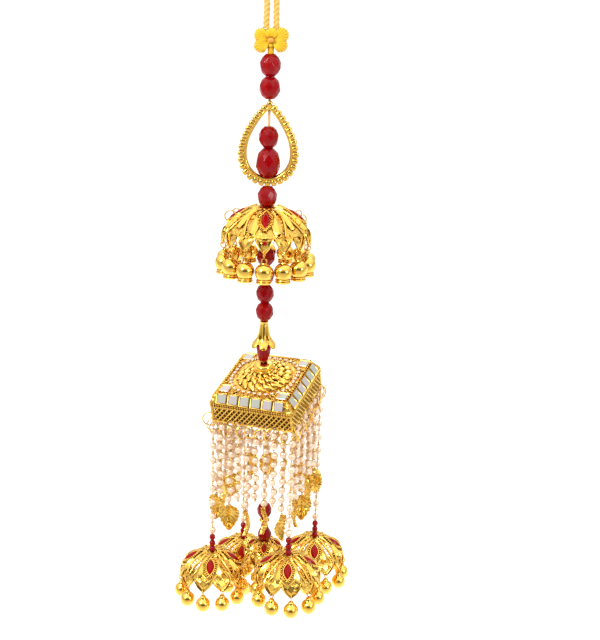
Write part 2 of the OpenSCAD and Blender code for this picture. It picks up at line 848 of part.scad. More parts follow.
module lower_dome_1() { corner_dome(0); }
module lower_dome_2() { corner_dome(1); }
module lower_dome_3() { corner_dome(2); }
module lower_dome_4() { corner_dome(3); }
module lower_stones_1() { corner_dome_stones(0); }
module lower_stones_2() { corner_dome_stones(1); }
module lower_stones_3() { corner_dome_stones(2); }
module lower_stones_4() { corner_dome_stones(3); }
module lower_balls_1() { corner_dome_balls(0); }
module lower_balls_2() { corner_dome_balls(1); }
module lower_balls_3() { corner_dome_balls(2); }
module lower_balls_4() { corner_dome_balls(3); }

// Centre string under the canopy: a bead, a flower spacer, a pear bead and the smallest dome
module at_centre_dome() {
    translate([fringe_mid[0], fringe_mid[1], centre_top])
        rotate([0, 0, centre_turn])
            children();
}

module lower_dome_5() {
    color(gold)
        at_centre_dome()
            pierced_dome(centre_r, centre_h, small_wall, centre_count, small_petal_h, 4,
                centre_stone[0], centre_stone[1], -centre_turn, 4, bore);
}

module lower_stones_5() {
    at_centre_dome()
        dome_stones(centre_r, centre_h, 4, centre_stone[0], centre_stone[1], -centre_turn);
}

module lower_balls_5() {
    at_centre_dome()
        dome_balls(centre_r, centre_h, centre_count, centre_ball_d);
}

module centre_bead() {
    color(ruby)
        on_centre_string()
            translate([0, 0, -centre_bead_l])
                faceted_bead(8.2, centre_bead_h, bead_sides, bore);
}

module centre_spacer() {
    points = 6;
    color(gold)
        on_centre_string()
            translate([0, 0, -spacer_l])
                difference() {
                    union() {
                        cylinder(h = spacer_h, r = 1.7, center = true, $fn = 24);
                        for (i = [0 : points - 1])
                            rotate([0, 0, i * 360 / points])
                                translate([1.9, 0, 0])
                                    sphere(r = 0.95, $fn = 16);
                    }
                    cylinder(h = 8, d = bore, center = true, $fn = 24);
                }
}

module pear_bead() {
    color(ruby)
        on_centre_string()
            translate([0, 0, -pear_l])
                rotate_extrude($fn = 10)
                    polygon([
                        [bore / 2, pear_h / 2], [1.6, pear_h / 2], [2.1, 2.6], [3.4, 0],
                        [3.9, -2], [3.2, -4], [1.9, -pear_h / 2], [bore / 2, -pear_h / 2]
                    ]);
}

hanging_cord();
bow_knot();
string_thread();
bead_1();
bead_2();
teardrop_ring();
bead_3();
bead_4();
bead_5();
upper_dome();
upper_stones();
upper_bells();
bead_6();
bead_7();
bead_8();
bead_9();
bead_10();
bead_11();
tulip_cap();
cone_bead();
collar();
canopy();
canopy_mirrors();
fringe_front();
fringe_right();
fringe_back();
fringe_left();
leaves_front();
leaves_right();
leaves_back();
leaves_left();
corner_pearls_1();
corner_pearls_2();
corner_pearls_3();
corner_pearls_4();
corner_threads();
corner_ruby_1();
corner_ruby_2();
corner_ruby_3();
corner_ruby_4();
lower_dome_1();
lower_dome_2();
lower_dome_3();
lower_dome_4();
lower_dome_5();
lower_stones_1();
lower_stones_2();
lower_stones_3();
lower_stones_4();
lower_stones_5();
lower_balls_1();
lower_balls_2();
lower_balls_3();
lower_balls_4();
lower_balls_5();
centre_bead();
centre_spacer();
pear_bead();
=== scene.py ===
"""Kalira: the finish and fine work of the bridal ornament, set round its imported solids.

Pieces are modelled in millimetres, in the solids' own frame, and turned into metres when they
are finished.
"""

import random
from dataclasses import dataclass
from math import asin, atan2, cos, degrees, pi, radians, sin, sqrt

import bpy
from mathutils import Matrix, Vector


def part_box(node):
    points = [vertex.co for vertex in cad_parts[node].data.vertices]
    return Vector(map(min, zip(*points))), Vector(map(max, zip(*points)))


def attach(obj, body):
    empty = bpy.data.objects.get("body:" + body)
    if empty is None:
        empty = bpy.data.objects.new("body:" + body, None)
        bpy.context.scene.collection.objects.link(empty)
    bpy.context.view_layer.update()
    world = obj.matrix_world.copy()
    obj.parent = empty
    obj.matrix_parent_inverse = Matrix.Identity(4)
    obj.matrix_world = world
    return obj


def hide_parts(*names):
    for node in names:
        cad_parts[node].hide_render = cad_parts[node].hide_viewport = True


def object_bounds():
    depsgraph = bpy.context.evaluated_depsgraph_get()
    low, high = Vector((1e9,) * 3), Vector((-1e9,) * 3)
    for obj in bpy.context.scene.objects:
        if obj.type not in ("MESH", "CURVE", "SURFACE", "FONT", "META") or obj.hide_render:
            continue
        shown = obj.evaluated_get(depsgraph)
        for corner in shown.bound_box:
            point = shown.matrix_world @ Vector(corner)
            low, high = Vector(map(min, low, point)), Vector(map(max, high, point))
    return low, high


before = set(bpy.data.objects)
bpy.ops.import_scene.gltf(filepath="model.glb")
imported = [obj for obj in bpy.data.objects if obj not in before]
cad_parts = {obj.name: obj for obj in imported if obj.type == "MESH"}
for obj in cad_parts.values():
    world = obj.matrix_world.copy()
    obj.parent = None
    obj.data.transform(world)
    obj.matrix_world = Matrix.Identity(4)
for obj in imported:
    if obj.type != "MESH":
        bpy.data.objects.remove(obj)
cad_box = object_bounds()

MM = 0.001
TAU = 2 * pi
hand = random.Random(11)


# ---- Places

def turn(axis, angle):
    return Matrix.Rotation(radians(angle), 4, axis)


def shift(x, y, z):
    return Matrix.Translation((x, y, z))


def stretch(x, y, z):
    return Matrix.Diagonal((x, y, z, 1))


def around(count, first=0.0):
    """Turns about Z, evenly spaced."""
    return [turn("Z", first + 360 * k / count) for k in range(count)]


def slant(x, z):
    """The angle of a way that runs x across and z up, in degrees."""
    return degrees(atan2(z, x))


def set_camera():
    """A camera at the photograph's height, pitch and slight roll."""
    data = bpy.data.cameras.new("camera")
    data.lens = 58.5
    data.sensor_width = 36
    camera = bpy.data.objects.new("camera", data)
    bpy.context.collection.objects.link(camera)
    camera.matrix_world = shift(0.018, -0.5, -0.023) @ turn("X", 90 - 17.9) @ turn("Z", 2)
    bpy.context.scene.camera = camera


# ---- Working by hand: selecting, shaping, copying, joining and finishing

def let_go():
    """Leaves edit mode with nothing selected."""
    if bpy.context.object and bpy.context.object.mode != "OBJECT":
        bpy.ops.object.mode_set(mode="OBJECT")
    bpy.ops.object.select_all(action="DESELECT")


def take(*objects):
    """Selects only these objects, the first one active."""
    let_go()
    for obj in objects:
        obj.select_set(True)
    bpy.context.view_layer.objects.active = objects[0]


def pick(obj, kind, test):
    """Opens obj in edit mode with the vertices, edges or faces picked that pass the test."""
    take(obj)
    bpy.ops.object.mode_set(mode="EDIT")
    bpy.ops.mesh.select_mode(type=kind)
    bpy.ops.mesh.select_all(action="DESELECT")
    bpy.ops.object.mode_set(mode="OBJECT")
    mesh = obj.data
    points = [vertex.co for vertex in mesh.vertices]
    parts, middle_of = {
        "VERT": (mesh.vertices, lambda part: part.co),
        "EDGE": (mesh.edges, lambda part: sum((points[v] for v in part.vertices), Vector()) / 2),
        "FACE": (mesh.polygons, lambda part: part.center),
    }[kind]
    for part in parts:
        part.select = test(middle_of(part))
    bpy.ops.object.mode_set(mode="EDIT")


def pick_all(obj):
    pick(obj, "VERT", lambda co: True)


def extrude(x, y, z):
    bpy.ops.mesh.extrude_region_move(TRANSFORM_OT_translate={"value": (x, y, z)})


def resize(x, y, z, centre=(0, 0, 0)):
    bpy.ops.transform.resize(value=(x, y, z), center_override=centre)


def face_out():
    """Turns the faces of the open mesh outwards and leaves it."""
    bpy.ops.mesh.select_all(action="SELECT")
    bpy.ops.mesh.normals_make_consistent(inside=False)
    let_go()


def named(name):
    """The object just added, under its own name."""
    obj = bpy.context.object
    obj.name = obj.data.name = name
    return obj


def moved(obj, place):
    obj.data.transform(place)
    return obj


def block(name, place, round_off=0.0, **settings):
    """A cube to start from, stretched to its place, its edges rounded off."""
    let_go()
    bpy.ops.mesh.primitive_cube_add(size=1)
    obj = moved(named(name), place)
    if round_off:
        pick_all(obj)
        bpy.ops.mesh.bevel(offset=round_off, affect="EDGES", **settings)
        let_go()
    return obj


def ball(name, segments, rings, radius=1.0):
    let_go()
    bpy.ops.mesh.primitive_uv_sphere_add(segments=segments, ring_count=rings, radius=radius)
    return named(name)


def squeezed(obj, test, *share):
    """A ball with the part that passes the test drawn in."""
    pick(obj, "VERT", test)
    resize(*share)
    let_go()
    return obj


def apply_modifier(obj, kind, **settings):
    take(obj)
    modifier = obj.modifiers.new(kind.lower(), kind)
    for key, value in settings.items():
        setattr(modifier, key, value)
    bpy.ops.object.modifier_apply(modifier=modifier.name)
    return obj


def soften(obj, width, segments, angle):
    """Bevels the edges that are sharper than an angle in degrees."""
    return apply_modifier(obj, "BEVEL", width=width, segments=segments, limit_method="ANGLE",
                          angle_limit=radians(angle))


def copies(model, places, keep=False):
    """A copy of the model at each place, each with its own mesh; the model itself goes."""
    made = []
    for place in places:
        obj = model.copy()
        obj.data = model.data.copy()
        bpy.context.collection.objects.link(obj)
        made.append(moved(obj, place))
    if not keep:
        drop(model)
    return made


def drop(*objects):
    for obj in objects:
        mesh = obj.data
        bpy.data.objects.remove(obj)
        bpy.data.meshes.remove(mesh)


def joined(name, objects):
    take(*objects)
    if len(objects) > 1:
        bpy.ops.object.join()
    return named(name)


def finished(obj, material, slot, *nodes, smooth=35, place=None):
    """Puts a piece in its place, in metres, with its finish, and hides the solids it stands for.
    The slot is not used.
    """
    if place is not None:
        obj.data.transform(place)
    obj.data.transform(Matrix.Scale(MM, 4))
    obj.data.materials.clear()
    obj.data.materials.append(material)
    take(obj)
    if smooth:
        bpy.ops.object.shade_smooth_by_angle(angle=radians(smooth))
    else:
        bpy.ops.object.shade_flat()
    let_go()
    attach(obj, "root")
    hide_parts(*nodes)
    return obj


# ---- Ways of making: turned pieces, wires, skins, small balls and rings

def point_line(name, points):
    """Vertices in XZ, extruded one after another from a point; edit mode stays open on all."""
    let_go()
    bpy.ops.mesh.primitive_plane_add(size=1, location=(0, 0, 0))
    obj = named(name)
    pick_all(obj)
    bpy.ops.mesh.merge(type="CENTER")
    (x, z), *others = points
    bpy.ops.transform.translate(value=(x, 0, z))
    for x2, z2 in others:
        extrude(x2 - x, 0, z2 - z)
        x, z = x2, z2
    bpy.ops.mesh.select_all(action="SELECT")
    return obj


def turned(name, profile, steps=32, closed=False):
    """A piece turned about Z from (radius, height) points."""
    obj = point_line(name, profile + profile[:1] if closed else profile)
    bpy.ops.mesh.spin(steps=steps, angle=TAU, center=(0, 0, 0), axis=(0, 0, 1))
    bpy.ops.mesh.select_all(action="SELECT")
    bpy.ops.mesh.remove_doubles(threshold=0.002)
    face_out()
    return obj


def wires(name, lines, radius, closed=False, rounding=1):
    """Round wires along lines of points, as one mesh."""
    let_go()
    data = bpy.data.curves.new(name, "CURVE")
    data.dimensions = "3D"
    data.bevel_depth = radius
    data.bevel_resolution = rounding
    data.use_fill_caps = True
    for line in lines:
        spline = data.splines.new("POLY")
        spline.points.add(len(line) - 1)
        for point, co in zip(spline.points, line):
            point.co = (*co, 1)
        spline.use_cyclic_u = closed
    obj = bpy.data.objects.new(name, data)
    bpy.context.collection.objects.link(obj)
    take(obj)
    bpy.ops.object.convert(target="MESH")
    return named(name)


def skinned(name, rows, closed=False):
    """A skin over rings of points; the last ring joins the first, or both ends are capped."""
    n, m = len(rows), len(rows[0])
    faces = [
        (i * m + k, i * m + (k + 1) % m, (i + 1) % n * m + (k + 1) % m, (i + 1) % n * m + k)
        for i in range(n if closed else n - 1) for k in range(m)]
    if not closed:
        faces += [tuple(range(m))[::-1], tuple((n - 1) * m + k for k in range(m))]
    mesh = bpy.data.meshes.new(name)
    mesh.from_pydata([point for row in rows for point in row], [], faces)
    obj = bpy.data.objects.new(name, mesh)
    bpy.context.collection.objects.link(obj)
    pick_all(obj)
    face_out()
    return obj


def granule(radius):
    """A small bead of gold, slightly flattened."""
    return squeezed(ball("granule", 8, 6, radius), lambda co: co.z < -0.6 * radius, 1, 1, 0.6)


def jump_ring(radius, wire, steps=20, sides=6):
    """A ring of wire in XZ with a fine cut where it was closed."""
    let_go()
    bpy.ops.mesh.primitive_torus_add(
        major_radius=radius, minor_radius=wire, major_segments=steps, minor_segments=sides)
    ring = named("jump_ring")
    cut = TAU / steps
    pick(ring, "FACE", lambda co: abs(atan2(co.y, co.x) - cut / 2) < cut * 0.4)
    bpy.ops.mesh.delete(type="FACE")
    pick(ring, "VERT", lambda co: False)
    bpy.ops.mesh.select_non_manifold()
    bpy.ops.mesh.fill_holes(sides=sides)
    let_go()
    return moved(ring, turn("X", 90) @ turn("Z", 50))


# ---- Finishes

class Link:
    """A node's output, so that shader maths reads as sums."""

    def __init__(self, nodes, socket):
        self.nodes = nodes
        self.socket = socket

    def maths(self, operation, first, second):
        return self.nodes.node("ShaderNodeMath", {"operation": operation}, {0: first, 1: second})

    def __add__(self, other):
        return self.maths("ADD", self, other)

    def __sub__(self, other):
        return self.maths("SUBTRACT", self, other)

    def __rsub__(self, other):
        return self.maths("SUBTRACT", other, self)

    def __mul__(self, other):
        return self.maths("MULTIPLY", self, other)

    __radd__ = __add__
    __rmul__ = __mul__

    def kept_to(self, low, high):
        return self.maths("MINIMUM", self.maths("MAXIMUM", self, low), high)


class Nodes:
    """A node tree."""

    def __init__(self, tree):
        self.tree = tree

    def node(self, kind, settings=None, inputs=None, output=0):
        """Any node, from its type, settings and the values or links of its sockets."""
        made = self.tree.nodes.new(kind)
        for key, value in (settings or {}).items():
            setattr(made, key, value)
        for key, value in (inputs or {}).items():
            self.plug(made.inputs[key], value)
        return Link(self, made.outputs[output])

    def plug(self, socket, value):
        if isinstance(value, Link):
            self.tree.links.new(value.socket, socket)
        else:
            socket.default_value = value


class Finish(Nodes):
    """A material made of nodes, round one Principled shader."""

    def __init__(self, name, **constants):
        self.material = bpy.data.materials.new(name)
        self.material.use_nodes = True
        super().__init__(self.material.node_tree)
        self.shader = self.tree.nodes["Principled BSDF"]
        for key, value in constants.items():
            self.shader.inputs[key.replace("_", " ")].default_value = value

    def feed(self, key, value):
        self.plug(self.shader.inputs[key], value)

    def place(self, scale=(1, 1, 1), output="Object"):
        where = self.node("ShaderNodeTexCoord", output=output)
        return self.node("ShaderNodeMapping", {}, {"Vector": where, "Scale": scale})

    def noise(self, scale, detail=2.0, where=None):
        where = where or self.place()
        return self.node(
            "ShaderNodeTexNoise", {}, {"Vector": where, "Scale": scale, "Detail": detail})

    def hollow_shade(self, reach=1.6, samples=5):
        """How much painted shade a point takes, from how deep it lies in a recess so many
        millimetres wide: 0 in the open to 1.
        """
        return 1 - self.node("ShaderNodeAmbientOcclusion", {"samples": samples},
                             {"Distance": reach * MM}, output="AO")

    def mix(self, share, first, second):
        """A colour between two, by share."""
        return self.node(
            "ShaderNodeMix", {"data_type": "RGBA"}, {0: share, 6: first, 7: second}, output=2)

    def bump(self, height, strength, distance):
        self.feed("Normal", self.node(
            "ShaderNodeBump", {}, {"Height": height, "Strength": strength, "Distance": distance}))


GOLD_LIGHT = (1.0, 0.63, 0.12, 1)
# The dark gold colour: painted shade in recesses and low relief, and a random tone.
GOLD_SHADE_AND_TONE = (0.26, 0.09, 0.008, 1)


def gold_finish(name, roughness, grain, depth, shade_weight, light=GOLD_LIGHT):
    """Yellow gold plate with painted shade in its recesses, a tone that varies at random, and the
    grain of its casting.
    """
    finish = Finish(name, Metallic=1.0)
    hollow_shade = finish.hollow_shade()
    cloud = finish.noise(140, 3)
    # Painted shade: the dark gold grows in recesses; the cloud noise adds a random tone.
    share = (hollow_shade * shade_weight + (cloud - 0.5) * 0.25).kept_to(0, 1)
    finish.feed("Base Color", finish.mix(share, light, GOLD_SHADE_AND_TONE))
    finish.feed("Roughness", (cloud - 0.5) * 0.16 + share * 0.18 + roughness)
    finish.bump(finish.noise(grain, 2), 0.5, depth * MM)
    return finish.material


def relief_finish():
    """Cast gold with fine scrolling relief, as on the canopy and the domes, with painted shade in
    its recesses and where the relief lies low.
    """
    finish = Finish("relief_gold", Metallic=1.0)
    where = finish.place()
    bend = finish.noise(260, 2, where)
    cells = finish.node(
        "ShaderNodeTexVoronoi", {"feature": "SMOOTH_F1"},
        {"Vector": where, "Scale": 620.0, "Smoothness": 0.35, "Randomness": 0.85})
    height = (1 - cells * 1.5).kept_to(0, 1) + bend * 0.35
    # Painted shade: darker gold in recesses and where the relief lies low.
    share = (finish.hollow_shade() * 1.1 + (1 - height) * 0.4).kept_to(0, 1)
    finish.feed("Base Color", finish.mix(share, GOLD_LIGHT, GOLD_SHADE_AND_TONE))
    finish.feed("Roughness", share * 0.2 + 0.2)
    finish.bump(height, 0.9, 0.32 * MM)
    return finish.material


def ruby_finish(name, colour, through):
    """Ruby-red glass with faint clouds in it."""
    finish = Finish(
        name, Transmission_Weight=through, IOR=1.52, Specular_IOR_Level=0.1,
        Coat_Weight=0.05, Coat_Roughness=0.03)
    cloud = finish.noise(160, 2)
    dark = tuple(c * 0.6 for c in colour[:3]) + (1,)
    finish.feed("Base Color", finish.mix(cloud, colour, dark))
    finish.feed("Roughness", cloud * 0.08 + 0.04)
    return finish.material


def pearl_finish():
    """Peach imitation pearl, each one a little different in tint, with painted shade where it lies
    in a recess.
    """
    finish = Finish(
        "peach_pearl", Metallic=0.3, Coat_Weight=1.0, Coat_Roughness=0.1, Coat_IOR=2.1)
    tint = ((finish.noise(110, 1) - 0.3) * 2.4).kept_to(0, 1)
    body = finish.mix(tint, (0.9, 0.6, 0.36, 1), (0.97, 0.76, 0.55, 1))
    # Painted shade: a brown where the pearls crowd each other and their wires.
    share = (finish.hollow_shade(1.5, 4) * 1.3).kept_to(0, 1)
    finish.feed("Base Color", finish.mix(share, body, (0.5, 0.22, 0.06, 1)))
    finish.feed("Roughness", finish.noise(900, 1) * 0.1 + 0.2)
    return finish.material


def mirror_finish():
    """Small mirrors, some greenish and some lavender, a little clouded."""
    finish = Finish("mirror", Metallic=0.3, Coat_Weight=0.5, Coat_Roughness=0.03)
    tint = ((finish.noise(95, 1) - 0.35) * 3).kept_to(0, 1)
    finish.feed("Base Color", finish.mix(tint, (0.46, 0.48, 0.4, 1), (0.54, 0.48, 0.5, 1)))
    finish.feed("Roughness", finish.noise(500, 1) * 0.2 + 0.08)
    return finish.material


def silver_finish():
    """Pinkish silver of the granules beside the mirrors."""
    finish = Finish("pink_silver", Metallic=0.8, Coat_Weight=0.4, Coat_Roughness=0.08)
    finish.feed("Base Color", finish.mix(
        finish.noise(300, 1), (0.85, 0.55, 0.4, 1), (0.8, 0.66, 0.56, 1)))
    finish.feed("Roughness", finish.noise(700, 1) * 0.15 + 0.15)
    return finish.material


def silk_finish(name, colour, deep, lie=None):
    """Silky yellow thread; its fibres lie along the piece's own UV map, or along lie. Its deep
    colour is painted shade in recesses and a tone that follows the fibres.
    """
    finish = Finish(name, Sheen_Weight=0.5, Sheen_Roughness=0.35, Specular_IOR_Level=0.4)
    if lie is None:
        fibre = finish.noise(1.0, 3, finish.place((26, 3, 1), "UV"))
    else:
        fibre = finish.noise(1000.0, 3, finish.place(lie))
    # Painted shade in recesses, and a darker tone along the fibres.
    share = (finish.hollow_shade(0.7) * 1.7 + (fibre - 0.45) * 0.9).kept_to(0, 1)
    finish.feed("Base Color", finish.mix(share, colour, deep))
    finish.feed("Roughness", fibre * 0.2 + 0.35)
    finish.bump(fibre, 0.6, 0.14 * MM)
    return finish.material


GOLD = gold_finish("satin_gold", 0.16, 900.0, 0.04, 1.1)
BRIGHT = gold_finish("polished_gold", 0.1, 260.0, 0.02, 1.1)
LEAF = gold_finish("leaf_gold", 0.22, 1500.0, 0.02, 0.6, (1.0, 0.66, 0.14, 1))
# Painted shade: near-black gold for the sheets behind the net walls, which stand for the canopy's
# shaded inside.
NET_SHADE = gold_finish("shade_sheet_gold", 0.5, 400.0, 0.1, 1.0, (0.14, 0.04, 0.006, 1))
RELIEF = relief_finish()
RUBY = ruby_finish("ruby_glass", (0.5, 0.001, 0.005, 1), 0.3)
STONE = ruby_finish("ruby_stone", (0.5, 0.001, 0.003, 1), 0.15)
PEARL = pearl_finish()
MIRROR = mirror_finish()
SILVER = silver_finish()
# The second colour of each thread finish is its painted shade and fibre tone.
HEART = silk_finish("orange_thread", (0.9, 0.42, 0.05, 1), (0.5, 0.18, 0.01, 1), (1, 1, 1))
SILK = silk_finish("silk_cord", (0.95, 0.62, 0.15, 1), (0.45, 0.17, 0.012, 1))
KNOT_SILK = silk_finish("silk_knot", (1.0, 0.63, 0.012, 1), (0.5, 0.18, 0.002, 1), (1, 1, 1))
THREAD = silk_finish("fine_thread", (0.9, 0.6, 0.25, 1), (0.6, 0.3, 0.08, 1), (1, 1, 0.2))


# ---- Where the solids stand, in millimetres

def span(node):
    """The lowest and highest corners of a solid."""
    low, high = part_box(node)
    return Vector(low) / MM, Vector(high) / MM


# The string ends at the pivot, from which the tilted canopy hangs. Its own frame is at its eaves.
PIVOT = Vector((0, 0, -208.0))
CANOPY_TURN = -20.5
HALF = 22.4
WALL = 12.0
SLOPE_IN = 3.1
SLOPE_UP = 4.5
SLOPE = slant(SLOPE_IN, SLOPE_UP)
ON_CANOPY = (
    shift(*PIVOT) @ turn("Y", -6.5) @ turn("X", 12) @ turn("Z", CANOPY_TURN) @ shift(0, 0, -13.3)
)
SQUARE = ((-1, -1), (1, -1), (1, 1), (-1, 1))
CORNERS = [ON_CANOPY @ Vector((x * (HALF - 0.6), y * (HALF - 0.6), -WALL)) for x, y in SQUARE]
FRINGE_MID = sum(CORNERS, Vector()) / 4
CENTRE_TOP = Vector((FRINGE_MID.x, FRINGE_MID.y, -313.5))
SIDES = ("front", "right", "back", "left")


# ---- Cord and knot

CORD_D = 3.1
CORD_HALF = [
    (2.3, -43), (2.3, -39), (2.2, -35), (2.2, -31), (2.6, -27), (3.6, -23), (5, -19),
    (6.4, -15), (7.4, -11), (7.7, -7), (6.9, -3), (4.8, 0), (1.9, 1.5),
]
CORD_ROUTE = [(-x, 0, z) for x, z in CORD_HALF] + [(x, 0, z) for x, z in CORD_HALF[::-1]]
KNOT_Z = -48.2
LOBES = ((157, 0.98), (210, 1.02), (26, 1.05), (-27, 0.98), (104, 0.6), (72, 0.64))


def smooth_route(route, steps):
    """Catmull-Rom points through a route."""
    route = [Vector(p) for p in route]
    last = len(route) - 1
    line = []
    for i in range(last):
        a, b, c, d = (route[min(max(k, 0), last)] for k in (i - 1, i, i + 1, i + 2))
        for t in (j / steps for j in range(steps)):
            line.append(0.5 * (
                2 * b + (c - a) * t + (2 * a - 5 * b + 4 * c - d) * t ** 2
                + (3 * b - a - 3 * c + d) * t ** 3))
    return line + [route[-1]]


def hanging_cord():
    """The doubled cord: three plies laid round each other along the route."""
    line = smooth_route(CORD_ROUTE, 8)
    length = sum((b - a).length for a, b in zip(line, line[1:]))
    plies, sides, lay = 3, 24, 7.0
    rows, along = [], 0.0
    for i, p in enumerate(line):
        if i:
            along += (p - line[i - 1]).length
        ahead = (line[min(i + 1, len(line) - 1)] - line[max(i - 1, 0)]).normalized()
        side = ahead.cross(Vector((0, 1, 0))).normalized()
        front = ahead.cross(side)
        row = []
        for a in (TAU * k / sides for k in range(sides)):
            ply = abs(cos(plies / 2 * (a - TAU * along / lay)))
            r = CORD_D / 2 * (0.6 + 0.4 * ply ** 0.7)
            row.append(p + r * (side * cos(a) + front * sin(a)))
        rows.append(row)
    cord = skinned("braided_cord", rows)
    mesh, pitch = cord.data, length / len(line)
    uv = mesh.uv_layers.new(name="lay")
    for face in mesh.polygons:
        for loop, vertex in zip(face.loop_indices, face.vertices):
            ring, k = divmod(vertex, sides)
            if k == 0 and sides - 1 in [v % sides for v in face.vertices]:
                k = sides
            uv.data[loop].uv = (k / sides - ring * pitch / lay, ring * pitch / CORD_D)
    finished(cord, SILK, "silk_cord", "hanging_cord", smooth=80)
    [c * MM for c in CORD_ROUTE[0]]
    [tuple(p * MM) for p in line]


def thread_loop(reach, angle, belly):
    """One loop of wound thread, out from the knot's middle, round the lobe's end and back."""
    out = turn("Y", -angle) @ Vector((1, 0, 0))
    line = []
    for a in (TAU * k / 20 for k in range(20)):
        far = 0.5 - 0.5 * cos(a)
        line.append(Vector((0, belly * sin(a) * (0.5 + 0.5 * far), KNOT_Z))
                    + out * (0.5 + reach * far ** 0.75))
    return line


def bow_knot():
    """Two fat lobes of wound thread round a small bead, over a neck of thread."""
    loops = []
    for way, size in LOBES:
        for depth, shrink in ((2.9, 1.0), (1.45, 0.88)):
            for swing in (8.6 * k for k in range(-3, 4)):
                reach = (7.4 - 1.5 * (swing / 26) ** 2) * shrink * size
                loops.append(thread_loop(reach + hand.uniform(-0.15, 0.15), way + swing, depth))
    windings = [
        [step @ Vector((1.15, 0, -51.2 - 0.62 * row)) for step in around(16)] for row in range(6)]
    tie = turned("tie", [(0, 1.0), (0.8, 0.6), (1.0, 0), (0.8, -0.6), (0, -1.0)], 16)
    core = turned("core", [
        (0, -43.1), (3.1, -43.5), (3.2, -45), (2.0, -50), (1.1, -54.2), (0, -54.3)], 20)
    knot = joined("wound_knot", [
        wires("lobes", loops, 0.74, closed=True, rounding=2),
        wires("neck", windings, 0.4, closed=True),
        moved(tie, shift(0, -2.0, -50.5)), moved(core, stretch(1, 0.55, 1))])
    finished(knot, KNOT_SILK, "silk_cord", "bow_knot", smooth=60)
    heart = turned("knot_bead", [
        (0, 1.5), (0.9, 1.3), (1.5, 0.7), (1.65, 0), (1.5, -0.7), (0.9, -1.3), (0, -1.5)], 20)
    finished(heart, HEART, "silk_cord", smooth=60,
             place=shift(0, -2.9, KNOT_Z) @ turn("X", 80) @ stretch(1.0, 0.7, 0.8))


# ---- Ruby beads

def cut_bead(name, d, h, sides=8, bore=1.6):
    """A glass bead cut in rows of diamond facets, flat at its drilled ends."""
    rows, low = 7, h / 2 - 0.001
    end = cos(pi / rows)
    bead = moved(ball(name, sides, rows), stretch(d / 2, d / 2, h / 2 / end))
    pick(bead, "VERT", lambda co: abs(co.z) > h / 2 + 0.001)
    bpy.ops.mesh.delete(type="VERT")
    rings = [h / 2 / end * cos(pi * k / rows) for k in (2, 4, 6)]
    pick(bead, "VERT", lambda co: any(abs(co.z - z) < 0.01 for z in rings))
    bpy.ops.transform.rotate(
        value=pi / sides, orient_axis="Z", center_override=(0, 0, 0))
    shrink = bore / (d * sin(pi / rows))
    for way in (1, -1):
        pick(bead, "EDGE", lambda co: co.z * way > low)
        bpy.ops.mesh.extrude_edges_move()
        resize(shrink, shrink, 1)
    pick(bead, "EDGE", lambda co: abs(co.z) > low and co.xy.length < bore / 2 + 0.01)
    bpy.ops.mesh.bridge_edge_loops()
    bpy.ops.mesh.select_all(action="SELECT")
    bpy.ops.mesh.quads_convert_to_tris(quad_method="SHORTEST_DIAGONAL")
    face_out()
    return soften(bead, 0.2, 2, 9)


def ruby(piece, node, place):
    finished(piece, RUBY, "ruby_glass", node, smooth=0, place=place)


def string_beads():
    """The beads of the string, each turned a little differently."""
    for number in range(1, 12):
        node = f"bead_{number}"
        low, high = span(node)
        bead = cut_bead(f"ruby_{node}", (high.x - low.x) * 1.07, high.z - low.z)
        ruby(bead, node, shift(0, 0, (low.z + high.z) / 2) @ turn("Z", hand.uniform(0, 45)))


def cone_bead():
    low, high = span("cone_bead")
    h = high.z - low.z
    cone = turned("ruby_cone", [
        (0.8, 0), (1.7, 0), (2.4, 1), (3.4, 0.5 * h), (3.9, h - 1.8), (3.6, h - 0.7),
        (2.4, h), (0.8, h)], 12, closed=True)
    ruby(soften(cone, 0.15, 1, 15), "cone_bead", shift(0, 0, low.z))


def leaning(node):
    """The place of a solid on the centre string, which leans from the pivot."""
    way = Vector(CENTRE_TOP - PIVOT).normalized()
    swing = Vector((0, 0, -1)).rotation_difference(way).to_matrix().to_4x4()
    low, high = span(node)
    return shift(*PIVOT) @ swing @ shift(0, 0, -((low + high) / 2 - PIVOT).length)


def centre_string():
    """Bead, flower spacer and pear bead above the centre dome."""
    ruby(cut_bead("ruby_centre_bead", 8.2, 9.0), "centre_bead", leaning("centre_bead"))
    pear = turned("ruby_pear", [
        (0.8, 5.5), (1.6, 5.5), (2.1, 2.6), (3.4, 0), (3.9, -2), (3.2, -4), (1.9, -5.5),
        (0.8, -5.5)], 10, closed=True)
    ruby(pear, "pear_bead", leaning("pear_bead"))
    disc = turned("disc", [(0.8, 1.4), (1.9, 1.2), (2.2, 0), (1.9, -1.2), (0.8, -1.4)], 20,
                  closed=True)
    petals = copies(granule(0.95), [
        step @ shift(1.95, 0, 0) @ stretch(1, 1, 1.3) for step in around(6)])
    finished(joined("flower_spacer", [disc] + petals), BRIGHT, "gold", "centre_spacer",
             place=leaning("centre_spacer"))


# ---- Teardrop ring

def drop_line(w, h, top, count):
    """A teardrop's outline in XZ, clockwise from its tip at the top."""
    def half(t):
        return sqrt(max(1 - t, 0)) * t ** 0.9
    widest = half(0.9 / 1.4)
    line = []
    for q in (2 * i / count for i in range(count)):
        way, q = (1, q) if q <= 1 else (-1, 2 - q)
        t = (1 - cos(pi * q)) / 2
        line.append(Vector((way * w / 2 * half(t) / widest, 0, top - t * h)))
    return line


def even(line, count):
    """Points evenly spaced round a closed line, with the way ahead at each."""
    loop = line + [line[0]]
    lengths = [(b - a).length for a, b in zip(loop, loop[1:])]
    total, made = sum(lengths), []
    for k in range(count):
        rest, i = total * k / count, 0
        while rest > lengths[i]:
            rest -= lengths[i]
            i += 1
        ahead = (loop[i + 1] - loop[i]).normalized()
        made.append((loop[i] + ahead * rest, ahead))
    return made


